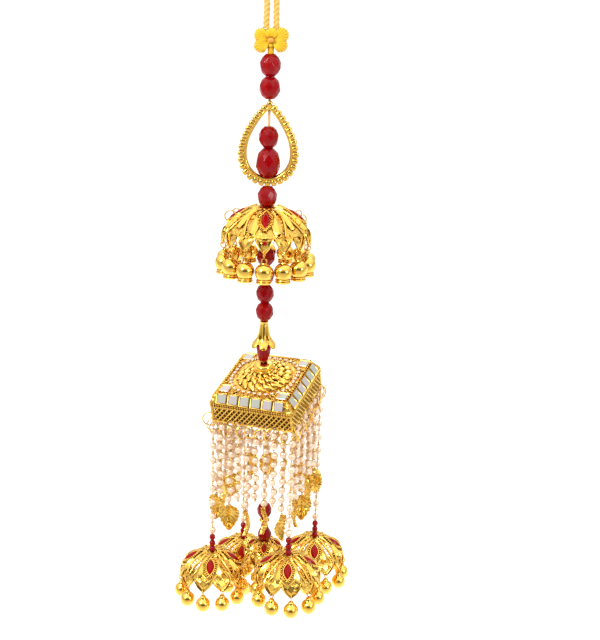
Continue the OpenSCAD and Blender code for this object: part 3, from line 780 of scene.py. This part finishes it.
def teardrop_ring():
    """A band with a smooth inner rim, and two rows of square-cut granules that cover its face."""
    low, high = span("teardrop_ring")
    top, w, h = high.z, high.x - low.x, high.z - low.z
    inner = drop_line(w - 8.6, h - 7.3, top - 3.6, 72)
    outer = drop_line(w - 3.4, h - 2.4, top - 1.2, 72)
    core = skinned("core", [
        [(p.x, -1.7, p.z), (q.x, -1.7, q.z), (q.x, 1.7, q.z), (p.x, 1.7, p.z)]
        for p, q in zip(inner, outer)], closed=True)
    rim = even(drop_line(w - 7.4, h - 6.5, top - 3.1, 96), 96)
    rims = wires("rims", [[(p.x, y, p.z) for p, _ in rim] for y in (-1.55, 0, 1.55)], 0.8,
                 closed=True, rounding=2)
    stud = block("stud", stretch(2.6, 2.3, 3.2), 0.85, segments=3, profile=0.5)
    studs = copies(stud, [
        shift(p.x, y, p.z) @ turn("Y", slant(ahead.x, -ahead.z))
        for p, ahead in even(drop_line(w - 3.6, h - 3.2, top - 1.75, 240), 32)
        for y in (-1.25, 1.25)])
    finished(joined("granulated_ring", [core, rims] + studs), BRIGHT, "gold", "teardrop_ring",
             smooth=50)


# ---- Domes, their petals, stones and drops

@dataclass
class Dome:
    """A dome's measures; the origin of its place is its apex, and its wall is part of a sphere."""

    place: Matrix
    r: float
    h: float
    petals: int
    petal_h: float
    wall: float
    stone: tuple
    ribs: int
    first: float = 0.0

    def __post_init__(self):
        self.reach = (self.r ** 2 + self.h ** 2) / (2 * self.h)
        self.edge = degrees(asin(self.r / self.reach))
        self.tilt = (90 - self.edge) * 0.25

    def on(self, way, down, lift=0.0):
        """A place on the wall: Z outwards, -Y down the dome."""
        return (shift(0, 0, -self.reach) @ turn("Z", way) @ turn("X", down)
                @ shift(0, 0, self.reach + lift))

    def settings(self):
        return [self.on(self.first + 90 * k, self.edge * 0.6) for k in range(4)]

    def petal_places(self):
        """Where the petals hang from the rim, every second one a little forward."""
        return [
            step @ shift(0, -self.r + self.wall / 2 - 0.3 * (k % 2), -self.h)
            @ turn("X", -self.tilt) for k, step in enumerate(around(self.petals))]

    def hung(self, model):
        """Copies of a drop in the eyes of the petals, each swung round a little."""
        tilt, long = radians(self.tilt), self.petal_h - 1.5
        out = self.r - self.wall / 2 + sin(tilt) * long
        low = self.h + cos(tilt) * long + 1.7
        return copies(model, [
            step @ shift(0, -out, -low) @ turn("Z", hand.uniform(-12, 12))
            for step in around(self.petals)])

    def meridian(self, way, start, aside):
        """Points down the dome, a little aside of the straight way and bowed outwards."""
        line = []
        for share in (k / 14 for k in range(15)):
            down = radians(start + (self.edge - 1 - start) * share)
            out = self.reach * sin(down)
            bow = aside * (0.35 + 0.65 * sin(pi * min(share * 0.75 + 0.1, 1)))
            a = radians(way) + bow / max(out, 0.5)
            line.append((out * sin(a), -out * cos(a),
                         self.reach * cos(down) - self.reach + 0.25))
        return line


UPPER_R = 20.6
UPPER = Dome(shift(0, 0, span("bead_5")[0].z - 0.12), UPPER_R, 11.0, 14, 7.2, 0.9, (11, 4), 8)
WIRE_LOOPS = [(-58, 1.6), (-78, 2.8), (62, 1.8), (80, 2.2), (118, 2), (-118, 2)]


def petal_outline(w, h):
    """A petal's outline from its top left round its tip; Z 0 is the dome's rim."""
    half = [(0.3, 3.6), (0.46, 1.9), (0.5, 0.4), (0.43, -h * 0.25), (0.28, -h * 0.6),
            (0.12, -h * 0.9)]
    left = [(-x * w, z) for x, z in half]
    return left + [(0, -h)] + [(-x, z) for x, z in left[::-1]]


def bend(z, h):
    """How far a petal's point lies back: its top follows the dome and its middle bulges."""
    return 0.74 * max(z, 0) - 0.5 * sin(pi * min(max(-z / h, 0), 1))


def petal_piece(w, h):
    """A pointed petal with a sunk panel, a cut window and raised rims round both, facing -Y."""
    outline, heart = petal_outline(w, h), -h * 0.36
    petal = point_line("petal", outline)
    bpy.ops.mesh.edge_face_add()
    for share, sink in ((0.82, 0.5), (0.42, -0.3)):
        extrude(0, sink, 0)
        resize(share, 1, share, (0, 0, heart))
    bpy.ops.mesh.select_mode(type="FACE")
    bpy.ops.mesh.delete(type="FACE")
    let_go()
    apply_modifier(petal, "SOLIDIFY", thickness=0.6, offset=0.0)
    for vertex in petal.data.vertices:
        vertex.co.y += bend(vertex.co.z, h)
    pieces = [petal]
    for share, back, wire in ((0.94, -0.3, 0.42), (0.37, -0.1, 0.26)):
        rim = [(x * share, bend(z, h) + back, (z - heart) * share + heart) for x, z in outline]
        pieces.append(wires("rim", [rim], wire, closed=True))
    return joined("petal", pieces)


def marquise_line(l, w, count, z=0.0):
    return [
        Vector((w / 2 * sin(a) * abs(sin(a)), l / 2 * cos(a), z))
        for a in (TAU * k / count for k in range(count))
    ]


def setting(l, w):
    """The frame of a marquise stone: a smooth inner rim and a rayed border of little granules."""
    rim = wires("rim", [marquise_line(l + 0.7, w + 0.7, 28, 0.8)], 0.34, closed=True)
    rays = [
        shift(p.x, p.y, 0.45) @ turn("Z", slant(ahead.x, ahead.y)) @ stretch(0.66, 1.25, 0.85)
        for p, ahead in even(marquise_line(l + 2.2, w + 2.4, 64), round(2.6 * l))]
    return [rim] + copies(granule(0.64), rays)


def leaf_panel(dome, low, high, spread):
    """A bulging leaf plate that lies on a dome, with a raised midrib."""
    let_go()
    bpy.ops.mesh.primitive_grid_add(x_subdivisions=10, y_subdivisions=12, size=2)
    panel = named("leaf_panel")
    for vertex in panel.data.vertices:
        u, t = vertex.co.x, (vertex.co.y + 1) / 2
        wide = spread * (0.15 + 0.85 * sin(pi * min(t * 0.7 + 0.08, 1)))
        crest = 1.0 - 0.8 * abs(u) ** 1.6 + 0.35 * max(0, 1 - abs(u) * 4)
        crest -= 0.16 * cos(8 * pi * (t - 0.5 * abs(u))) * min(abs(u) * 3, 1)
        down = radians(dome.edge * (low + (high - low) * t))
        aside = wide * u / (dome.reach * max(sin(down), 0.15))
        r = dome.reach + crest
        vertex.co = (
            r * sin(down) * sin(aside), -r * sin(down) * cos(aside),
            r * cos(down) - dome.reach)
    return apply_modifier(panel, "SOLIDIFY", thickness=0.35, offset=-1.0)


def dome_wall(dome, name, node):
    """The wall of a dome with a pair of long slots beside each rib, and a seat at its apex."""
    reach, edge = dome.reach, dome.edge
    shell = moved(ball("shell", 72, 64, reach), shift(0, 0, -reach))
    pick_all(shell)
    bpy.ops.mesh.bisect(
        plane_co=(0, 0, reach * (cos(radians(edge)) - 1)), plane_no=(0, 0, 1),
        clear_inner=True)
    let_go()
    apply_modifier(shell, "SOLIDIFY", thickness=0.5, offset=-1.0)
    slot = block("slot", stretch(2.3, reach * radians(edge) * 0.56, 8), 0.5, segments=2)
    slots = joined("slots", copies(slot, [
        dome.on(dome.first + (k + 0.5) * 360 / dome.ribs, edge * 0.6) @ shift(way * 1.75, 0, 0)
        for k in range(dome.ribs) for way in (-1, 1)]))
    apply_modifier(shell, "BOOLEAN", object=slots, operation="DIFFERENCE", solver="EXACT")
    drop(slots)
    seat = turned("seat", [
        (0.9, -0.35), (2.0, -0.25), (2.4, 0.05), (2.0, 0.4), (1.3, 0.55), (0.9, 0.3)], 20,
        closed=True)
    finished(joined(name, [shell, seat]), RELIEF, "gold", node, smooth=40, place=dome.place)


def halo(dome):
    """Pointed bands that stand off round the settings of a small dome."""
    l, w = dome.stone
    centre = Vector((0, 0, dome.reach))
    line = marquise_line(min(l + 6.4, dome.reach * radians(dome.edge) * 0.9), w + 7, 36)
    return wires("halo", [
        [(place @ p + centre).normalized() * (dome.reach + 0.35) - centre for p in line]
        for place in dome.settings()], 0.5, closed=True, rounding=2)


def brightwork(dome):
    """The bright parts of a dome: ribs, leaf plates, settings and petals."""
    reach, edge, size = dome.reach, dome.edge, dome.r / UPPER_R
    ways = [dome.first + (k + 0.5) * 360 / dome.ribs for k in range(dome.ribs)]
    bands = [dome.meridian(way, 8, aside) for way in ways for aside in (-3.4, 0, 3.4)]
    pieces = [wires("ribs", bands, 0.5 + 0.14 * size, rounding=2)]
    pieces += copies(granule(0.45), [
        shift(*p) for way in ways for aside in (-1.7, 1.7)
        for p in dome.meridian(way, 22, aside)[::2]])
    hoops = [
        [step @ Vector((0, -reach * sin(down), reach * cos(down) - reach + 0.15))
         for step in around(72)] for down in (3.2 / reach, 4.6 / reach)]
    pieces.append(wires("hoops", hoops, 0.3 + 0.2 * size, closed=True))
    beside = (dome.stone[1] + 2.4) / 2 + 1.6 + 1.2 * size
    arc = degrees(beside / (reach * sin(radians(edge * 0.8))))
    pieces += copies(leaf_panel(dome, 0.55, 0.93, 1.1 + size),
                     around(4, dome.first - arc) + around(4, dome.first + arc))
    if dome is UPPER:
        pieces += copies(leaf_panel(dome, 0.3, 0.85, 1.5), around(4, dome.first + 45))
    else:
        pieces.append(halo(dome))
    for place in dome.settings():
        pieces += [moved(piece, place) for piece in setting(*dome.stone)]
    wide = TAU * dome.r / dome.petals * 1.02
    return pieces + copies(petal_piece(wide, dome.petal_h), dome.petal_places())


def stones(name, node):
    """The stones of a dome, with their facets softened at the edges."""
    let_go()
    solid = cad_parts[node]
    stone = solid.copy()
    stone.data = solid.data.copy()
    stone.hide_render = stone.hide_viewport = False
    stone.parent = None
    for key in list(stone.keys()):
        del stone[key]
    bpy.context.collection.objects.link(stone)
    stone.name = stone.data.name = name
    stone.matrix_world = Matrix.Identity(4)
    pick_all(moved(stone, Matrix.Scale(1 / MM, 4)))
    bpy.ops.mesh.remove_doubles(threshold=0.005)
    bpy.ops.mesh.dissolve_limited(angle_limit=radians(2))
    let_go()
    finished(soften(stone, 0.08, 1, 12), STONE, "ruby_stone", node, smooth=0)


def upper_dome():
    dome_wall(UPPER, "ribbed_dome", "upper_dome")
    pieces = brightwork(UPPER) + [
        moved(jump_ring(size, 0.3, 28), UPPER.on(way, 41, size - 0.3) @ turn("Z", 90))
        for way, size in WIRE_LOOPS]
    finished(joined("dome_brightwork", pieces), BRIGHT, "gold", smooth=45, place=UPPER.place)
    window = UPPER.petal_places()[0] @ shift(0, -0.35, -2.4)
    small = joined("petal_ruby", [moved(granule(1.15), window @ stretch(1, 0.6, 1))])
    finished(small, STONE, "ruby_stone", smooth=0, place=UPPER.place)
    stones("marquise_stones", "upper_stones")


def bell():
    """A round bell with a double foot, hung by a ring at the origin."""
    body = turned("bell", [
        (0, -4.6), (1.15, -4.75), (2.2, -5.2), (3.15, -5.9), (3.85, -6.8), (4.3, -7.9),
        (4.45, -9.05), (4.3, -10.2), (3.85, -11.3), (3.2, -12.1), (3.15, -12.35), (3.6, -12.6),
        (3.7, -12.9), (3.5, -13.2), (3.3, -13.35), (3.6, -13.6), (3.8, -13.95), (3.65, -14.35),
        (3.1, -14.4), (2.8, -13.6), (0, -13.2)], 36)
    ring = moved(jump_ring(1.6, 0.3), turn("Z", 90))
    loop = moved(jump_ring(1.25, 0.32, 18), shift(0, 0, -3.55))
    cap = turned("cap", [(0, -4.0), (1.3, -4.3), (1.5, -4.7), (1.2, -5.1), (0, -5.2)], 18)
    return joined("bell", [body, ring, loop, cap])


def upper_bells():
    finished(joined("bells", UPPER.hung(bell())), BRIGHT, "polished_gold", "upper_bells",
             smooth=50, place=UPPER.place)


def egg_drop(d):
    """A polished egg-shaped drop with a small cap, hung by a ring at the origin."""
    r, base = d / 2 - 0.01, -2.4 - d * 0.66
    profile = [(0, -1.8), (0.55, -1.9), (0.8, -2.3), (1.3, -2.45), (1.45, -2.75)]
    for down in (26, 38, 50, 62, 75, 90, 105, 120, 135, 150, 165):
        a = radians(down)
        profile.append((r * sin(a), base + r * cos(a) * (1.06 if down < 90 else 1)))
    body = turned("egg", profile + [(0, base - r)])
    return joined("egg_drop", [body, moved(jump_ring(1.6, 0.3, 18), turn("Z", 90))])


def lower_domes():
    """Four corner domes and the smaller one on the centre string."""
    for number, corner in enumerate(CORNERS, 1):
        swing = slant(FRINGE_MID.x - corner.x, FRINGE_MID.y - corner.y) + 108
        place = shift(corner.x, corner.y, span(f"corner_ruby_{number}")[0].z - 0.15)
        lower_dome(number, 7.8, Dome(
            place @ turn("Z", swing), 16.0, 8.7, 10, 6.0, 0.8, (9, 3.8), 4, -swing))
    lower_dome(5, 6.0, Dome(
        shift(*CENTRE_TOP) @ turn("Z", 27), 9.4, 5.5, 7, 6.0, 0.8, (5.6, 2.6), 4, -27))


def lower_dome(number, drop_d, dome):
    dome_wall(dome, f"small_dome_{number}", f"lower_dome_{number}")
    beading = copies(granule(0.42), [step @ shift(3.0, 0, -0.1) for step in around(10)])
    finished(joined(f"small_brightwork_{number}", brightwork(dome) + beading), BRIGHT, "gold",
             smooth=45, place=dome.place)
    stones(f"small_stones_{number}", f"lower_stones_{number}")
    finished(joined(f"egg_drops_{number}", dome.hung(egg_drop(drop_d))), BRIGHT, "polished_gold",
             f"lower_balls_{number}", smooth=50, place=dome.place)


# ---- Tulip cap and collar

def tulip_cap():
    """A long neck with six deep flutes that opens into petals."""
    low, high = span("tulip_cap")
    cap = turned("tulip", [
        (0.8, 0), (1.7, 0), (2.15, -0.3), (2.2, -0.9), (1.9, -1.4), (2.2, -2.2), (2.5, -4.2),
        (2.9, -6.4), (3.3, -8.2), (4.0, -9.8), (5.0, -11.3), (6.1, -12.6), (6.35, -13.5),
        (6.0, low.z - high.z), (5.4, -13.2), (4.5, -12.1), (4.2, -11.8), (0.8, -10.6)], 72,
        closed=True)
    for vertex in cap.data.vertices:
        co = vertex.co
        groove = (0.5 + 0.5 * cos(6 * atan2(co.y, co.x))) ** 3
        deep = min(max((-co.z - 1.6) / 2.5, 0), 1)
        if co.xy.length > 1.6:
            share = 1 - 0.24 * groove * deep + 0.05 * (1 - groove) * deep
            co.x, co.y = co.x * share, co.y * share
        if co.z < -10.5:
            co.z += groove * (-10.5 - co.z) * 0.75
    finished(cap, BRIGHT, "gold", "tulip_cap", smooth=50, place=shift(0, 0, high.z))


def collar():
    """The bright gold collar under the cone bead, set on the canopy's tilt."""
    piece = turned("bright_collar", [
        (5.0, 0), (5.2, 0.3), (5.15, 0.8), (4.85, 1.1), (4.9, 2.4), (4.75, 3.1),
        (4.3, 3.7), (3.5, 4.1), (2.0, 4.3), (0.9, 4.35), (0.9, 0)], 48, closed=True)
    finished(piece, BRIGHT, "gold", "collar", smooth=40, place=ON_CANOPY @ shift(0, 0, 9.1))


# ---- Canopy

def on_canopy(name, pieces, material, smooth, *nodes, slot="gold"):
    finished(joined(name, pieces), material, slot, *nodes, smooth=smooth, place=ON_CANOPY)


def mirror_places():
    """Where the mirrors lie on the canopy: six along each side and one in each corner."""
    places = []
    for side in around(4):
        places += [
            side @ shift((i - 2.5) * 6.2, -HALF + SLOPE_IN / 2, SLOPE_UP / 2) @ turn("X", SLOPE)
            for i in range(6)]
        places.append(side @ shift(15.6, -15.6, SLOPE_UP))
    return places


def mirror_frame():
    """A raised square frame round a mirror."""
    piece = block("frame", shift(0, 0, 0.25) @ stretch(5.75, 5.75, 1.3))
    pick(piece, "FACE", lambda co: co.z > 0.6)
    bpy.ops.mesh.inset(thickness=0.55)
    bpy.ops.transform.translate(value=(0, 0, -0.6))
    bpy.ops.mesh.select_all(action="SELECT")
    bpy.ops.mesh.bevel(offset=0.1, segments=1, affect="EDGES")
    let_go()
    return piece


def roof():
    """The hipped roof with its band, as a thin shell."""
    band = 2 * HALF - 0.4
    shell = block("roof", shift(0, 0, -1.4) @ stretch(band, band, 2.8))
    pick(shell, "FACE", lambda co: co.z > -0.1)
    inner = (HALF - SLOPE_IN) / (HALF - 0.2)
    extrude(0, 0, SLOPE_UP)
    resize(inner, inner, 1, (0, 0, SLOPE_UP))
    bpy.ops.mesh.inset(thickness=0.6)
    bpy.ops.mesh.inset(thickness=4.0)
    bpy.ops.transform.translate(value=(0, 0, 0.5))
    pick(shell, "FACE", lambda co: co.z < -2.7)
    bpy.ops.mesh.delete(type="FACE")
    let_go()
    return soften(apply_modifier(shell, "SOLIDIFY", thickness=0.9, offset=-1.0), 0.25, 2, 30)


def boss():
    """The swirled boss: three tiers of slanting lobes round the collar."""
    body = turned("boss", [
        (0, 9.0), (4.6, 8.9), (6.5, 8.1), (7.2, 8.2), (8.6, 7.7), (10.2, 6.6), (10.9, 6.7),
        (12.8, 5.9), (14.6, 4.7), (15.2, 4.1), (0, 4.0)], 72)
    lobe = squeezed(ball("lobe", 14, 10), lambda co: co.x > 0.3, 1, 0.7, 0.75)
    places = [
        step @ shift(r, 0, z) @ turn("Y", down) @ turn("Z", aside) @ stretch(long, wide, 0.95)
        for count, r, z, long, wide, down, aside in (
            (12, 6.1, 8.5, 1.9, 1.2, 18, 46), (14, 9.2, 7.75, 2.7, 1.65, 24, 48),
            (18, 12.7, 6.2, 3.2, 1.85, 30, 50))
        for step in around(count)]
    return [body] + copies(lobe, places)


def rounded_square(half, corner, steps):
    """A square with rounded corners, as a closed line in XY."""
    flat = half - corner
    return [
        side @ Vector((flat + corner * cos(a), -flat + corner * sin(a), 0))
        for side in around(4)
        for a in (radians(90 * i / steps - 90) for i in range(steps + 1))]


def sprigs():
    """Small leaves: a fan at each corner of the slope, and a row on each side of the corners."""
    sprig = squeezed(ball("sprig", 10, 6), lambda co: co.x > 0.5, 1, 0.5, 0.6)
    places = []
    for corner, side in zip(around(4, -45), around(4)):
        places += [
            corner @ shift(0, -28.8 + 0.2 * abs(i), 1.9) @ turn("X", SLOPE - 12)
            @ turn("Z", 90 + i * 30) @ shift(1.6, 0, 0) @ stretch(1.7, 0.55, 0.5)
            for i in range(-2, 3)]
        places += [
            side @ shift(way * (9.3 + 0.9 * i), -16.9 + 1.5 * i, 5.0)
            @ turn("Z", way * 38 + 90) @ stretch(1.5, 0.6, 0.5)
            for way in (-1, 1) for i in range(4)]
    return copies(sprig, places)


def net_lines():
    """The crossing bars of one net wall, in its own XZ, cut off at the wall's ends."""
    pitch, rise, top, low, end = 2.72, 3.1, -2.9, -11.7, HALF - 0.6
    lines = []
    for way in (-1, 1):
        lean = way * (top - low) * pitch / rise
        x = -end - 12
        while x < end + 12:
            first, last = sorted(((-end - x) / lean, (end - x) / lean))
            first, last = max(first, 0), min(last, 1)
            if last - first > 0.08:
                lines.append([(x + lean * s, 0, top + (low - top) * s) for s in (first, last)])
            x += pitch
    return lines


def canopy():
    """Roof, boss, mirror frames, granules and the four net walls, with a dark sheet of painted
    shade behind each wall.
    """
    on_canopy("swirled_boss", boss(), BRIGHT, 50)
    on_canopy("mirror_frames", copies(mirror_frame(), mirror_places()), BRIGHT, 30)
    pieces = [roof()]
    big = [
        shift(p.x, p.y, SLOPE_UP + 0.65) @ turn("Z", hand.uniform(0, 90)) @ stretch(1.1, 0.95, 0.8)
        for p, _ in even(rounded_square(16.4, 12.5, 8), 36)]
    on_canopy("roof_granules", copies(granule(1.05), big), SILVER, 50)
    small = [shift(p.x, p.y, SLOPE_UP + 0.3) for p, _ in even(rounded_square(18.7, 2.0, 3), 76)]
    pieces += copies(granule(0.5), small) + sprigs()
    lines, nets, shade_sheets, rim = net_lines(), [], [], HALF - 0.75
    for side in (step @ shift(0, -rim, 0) for step in around(4)):
        nets.append(moved(wires("net", lines, 0.36), side))
        # A dark sheet behind each net wall is painted shade, so that its holes look dark.
        shade_sheets.append(block(
            "shade_sheet", side @ shift(0, 1.1, -7.2) @ stretch(2 * HALF - 3.6, 0.4, 8.6)))
        pieces += copies(granule(0.62), [
            side @ shift((i - 16) * 1.33, -0.62, z) for i in range(33) for z in (-0.75, -2.15)])
    nets.append(wires("rims", [
        [(x * rim, y * rim, z) for x, y in SQUARE] for z in (-2.9, -11.6)], 0.45, closed=True))
    on_canopy("net_walls", nets, GOLD, 50)
    on_canopy("net_shade_sheets", shade_sheets, NET_SHADE, 0)
    pieces.append(wires("posts", [
        [(x * rim, y * rim, z) for z in (-2.6, -11.8)] for x, y in SQUARE], 0.7, rounding=2))
    on_canopy("net_canopy", pieces, RELIEF, 45, "canopy")


def canopy_mirrors():
    pane = block("pane", shift(0, 0, 0.4) @ stretch(4.6, 4.6, 0.5), 0.22, segments=1)
    on_canopy("small_mirrors", copies(pane, mirror_places()), MIRROR, 0, "canopy_mirrors",
              slot="mirror_glass")


def edge_rings():
    """Big thin jump rings through the canopy's lower edge."""
    places = [
        side @ shift((i - 4) * 4.95 + hand.uniform(-0.8, 0.8), -HALF + 0.6 - hand.uniform(0, 1.2),
                     -WALL - 2.6 + hand.uniform(-0.8, 0.3))
        @ turn("Z", hand.uniform(-60, 60)) @ turn("X", hand.uniform(-14, 14))
        for side in around(4) for i in range(9)]
    places.append(shift(-HALF - 1.4, -HALF + 1.5, -WALL + 0.5) @ turn("Z", 20))
    on_canopy("edge_rings", copies(jump_ring(4.0, 0.36, 28), places), BRIGHT, 50)


# ---- Fringe, leaves and corner strands

STRAND_CUT = [5.6, 2, 4.4, 0, 6.5, 2.8, 5, 1.2]
STRAND_STEP = 4.9
PEARL_STEP = 5.15
WALL_PEARL = 3.75
CORNER_PEARL = 3.9
LEAF_TABLE = [(1, 25), (3, -65), (5, 40), (7, 80)]
# The front leaf that hangs before the centre string is turned edge on.
LEAF_ASIDE = {("front", 5): -62}


def strand_length(side, i):
    return 47 - STRAND_CUT[i] - 0.7 * side


def strand_point(side, i, t):
    """A point of a strand: side 0 is the front, t runs from 0 at the canopy to 1 at its end."""
    foot = turn("Z", 90 * side) @ Vector(((i - 3.5) * STRAND_STEP, -HALF + 0.8, -WALL))
    top = ON_CANOPY @ foot - Vector((0, 0, 0.7))
    out = turn("Z", 90 * side + CANOPY_TURN) @ Vector((0, -1, 0))
    sway = 0.9 * sin(pi * t) * (-1) ** i
    return top + out * sway - Vector((0, 0, strand_length(side, i) * t))


def pearl(d):
    """A pearl with a dimple at each end of its drill hole."""
    return squeezed(ball("pearl", 12, 8, d / 2), lambda co: abs(co.z) > d / 2 * 0.99, 1, 1, 0.82)


def wire_link():
    """The eye wire between two pearls: two small eyes through each other."""
    return joined("wire_link", [
        moved(jump_ring(0.72, 0.2, 12, 5), shift(0, 0, way * 0.5) @ turn("Z", 45 * way))
        for way in (-1, 1)])


def strung(name, model, places, material, slot, *nodes, smooth=60):
    """One piece from copies of a model, which stays for the next."""
    finished(joined(name, copies(model, places, keep=True)), material, slot, *nodes, smooth=smooth)


def fringe():
    """Pearl strands on eye wires under each wall, in place of the plain tubes."""
    bead, link = pearl(WALL_PEARL), wire_link()
    for side, name in enumerate(SIDES):
        pearls, links = [], []
        for i in range(len(STRAND_CUT)):
            count = round(strand_length(side, i) / PEARL_STEP)
            for k in range(count):
                t = (k + 0.42) / count
                at = strand_point(side, i, t) + Vector(
                    (hand.uniform(-0.7, 0.7), hand.uniform(-0.5, 0.5), hand.uniform(-0.25, 0.25)))
                lean = turn("X", hand.uniform(-14, 14)) @ turn("Y", hand.uniform(-14, 14))
                pearls.append(shift(*at) @ lean @ Matrix.Scale(hand.uniform(0.92, 1.03), 4))
                links.append(shift(*strand_point(side, i, t + 0.5 / count))
                             @ turn("Z", hand.uniform(0, 180)))
        strung(f"pearl_strands_{name}", bead, pearls, PEARL, "pearl", f"fringe_{name}")
        strung(f"strand_wires_{name}", link, links, BRIGHT, "gold")
    drop(bead, link)


def leaf():
    """A stamped leaf with a midrib and side veins, hanging from the origin."""
    let_go()
    bpy.ops.mesh.primitive_grid_add(x_subdivisions=14, y_subdivisions=40, size=2)
    blade = named("blade")
    for vertex in blade.data.vertices:
        u, t = vertex.co.x, (1 - vertex.co.y) / 2
        wide = 5.0 * sin(pi * min(t + 0.001, 1) ** 0.8) ** 0.7 + 0.5 * (1 - t)
        wide *= 1 + 0.05 * cos(15 * pi * t)
        vein = cos(TAU * (6.5 * t - 2.4 * abs(u)))
        rise = 2.0 * sin(pi * t) - 1.0 * abs(u) - 0.42 * vein * min(abs(u) * 4, 1)
        rise += 0.6 * max(0, 1 - abs(u) * 5)
        vertex.co = (u * max(wide, 0.3), rise - 0.45, -14.5 * t)
    apply_modifier(blade, "SOLIDIFY", thickness=0.35, offset=0.0)
    eye = moved(jump_ring(0.9, 0.22, 14), shift(0, -0.2, 0.1) @ turn("Z", 90))
    return joined("leaf", [blade, eye])


def leaves():
    model = leaf()
    for side, name in enumerate(SIDES):
        places = [
            shift(*(strand_point(side, i, 1) - Vector((0, 0, 0.4))))
            @ turn("Z", 90 * side + CANOPY_TURN + LEAF_ASIDE.get((name, i), swing))
            for i, swing in LEAF_TABLE]
        strung(f"stamped_leaves_{name}", model, places, LEAF, "gold_leaf", f"leaves_{name}",
               smooth=55)
    drop(model)


def corner_strands():
    """Long corner strands: pearls, then a cluster of small rubies above each dome."""
    bead, link = pearl(CORNER_PEARL), wire_link()
    small = cut_bead("small_ruby", 3.4, 3.4, 8, 0.9)
    for number, (corner, count) in enumerate(zip(CORNERS, (8, 8, 10, 11)), 1):
        low, high = span(f"corner_pearls_{number}")
        first, last = high.z - CORNER_PEARL / 2, low.z + CORNER_PEARL / 2
        pitch = (first - last) / (count - 1)
        foot = span(f"corner_ruby_{number}")[0].z + 1.7

        def swung(heights, most):
            return [
                shift(corner.x, corner.y, z) @ turn("Z", hand.uniform(0, most)) for z in heights]

        heights = [first - pitch * k for k in range(count)]
        strung(f"corner_strand_{number}", bead, swung(heights, 90), PEARL, "pearl",
               f"corner_pearls_{number}")
        strung(f"corner_wires_{number}", link, swung([z + pitch / 2 for z in heights], 180),
               BRIGHT, "gold")
        strung(f"ruby_cluster_{number}", small, swung([foot + 3.55 * k for k in range(3)], 90),
               RUBY, "ruby_glass", f"corner_ruby_{number}", smooth=0)
    drop(bead, small, link)


def threads():
    """The solids that stay: threads, with their finish."""
    for node in ("string_thread", "corner_threads"):
        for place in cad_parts[node].material_slots:
            place.material = THREAD


# ---- Studio

def studio():
    """A pale floor well under the ornament, with painted shade that darkens it towards the
    camera's side, a bright ceiling and three soft lamps.
    """
    bpy.context.scene.view_settings.view_transform = "Standard"
    let_go()
    bpy.ops.mesh.primitive_plane_add(size=160, location=(0, 60, cad_box[0][2] - 0.11))
    floor = named("floor")
    finish = Finish("pale_floor", Roughness=0.9)
    where = finish.node("ShaderNodeTexCoord", output="Object")
    along = finish.node("ShaderNodeSeparateXYZ", inputs={0: where}, output="Y")
    # Painted shade: the floor darkens towards the camera's side, so that the gold reflects a dark
    # floor in front.
    front = (-0.02 - (along + 60)).kept_to(0, 0.3) * 3.3
    pale = finish.mix(finish.noise(3), (0.94, 0.94, 0.94, 1), (0.96, 0.96, 0.96, 1))
    finish.feed("Base Color", finish.mix(front, pale, (0.5, 0.49, 0.48, 1)))
    floor.data.materials.append(finish.material)
    for name, place, size, power, colour in (
            ("key", (-0.55, -0.65, 0.4), 0.3, 5.0, (1, 0.97, 0.93)),
            ("fill", (0.7, -0.6, 0.05), 0.24, 1.2, (1, 1, 1)),
            ("rim", (0.25, 0.8, 0.5), 0.4, 2.2, (1, 0.98, 0.95))):
        bpy.ops.object.light_add(type="AREA", location=place)
        lamp = bpy.context.object
        lamp.name = name
        lamp.data.size = size
        lamp.data.energy = power
        lamp.data.color = colour
        aim = Vector((0, 0, -0.17)) - Vector(place)
        lamp.rotation_euler = aim.to_track_quat("-Z", "Y").to_euler()
    world = bpy.data.worlds.new("studio")
    bpy.context.scene.world = world
    world.use_nodes = True
    sky = Nodes(world.node_tree)

    def shade(value, *bounds):
        return sky.node("ShaderNodeMapRange", {"interpolation_type": "SMOOTHSTEP"},
                        {"Value": value, **dict(enumerate(bounds, 1))})

    where = sky.node("ShaderNodeTexCoord", output="Generated")
    front = sky.node("ShaderNodeVectorMath", {"operation": "DOT_PRODUCT"},
                     {0: where, 1: Vector((0.05, -1, 0.02)).normalized()}, output="Value")
    height = sky.node("ShaderNodeSeparateXYZ", inputs={0: where}, output="Z")
    background = sky.tree.nodes["Background"]
    background.inputs["Color"].default_value = (1, 1, 1, 1)
    sky.plug(background.inputs["Strength"],
             shade(front, 0.68, 0.97, 1.0, 0.16) * shade(height, 0.0, 0.9, 0.6, 1.5))


set_camera()
hanging_cord()
bow_knot()
string_beads()
teardrop_ring()
upper_dome()
upper_bells()
tulip_cap()
cone_bead()
collar()
canopy()
canopy_mirrors()
edge_rings()
fringe()
leaves()
corner_strands()
centre_string()
lower_domes()
threads()
studio()
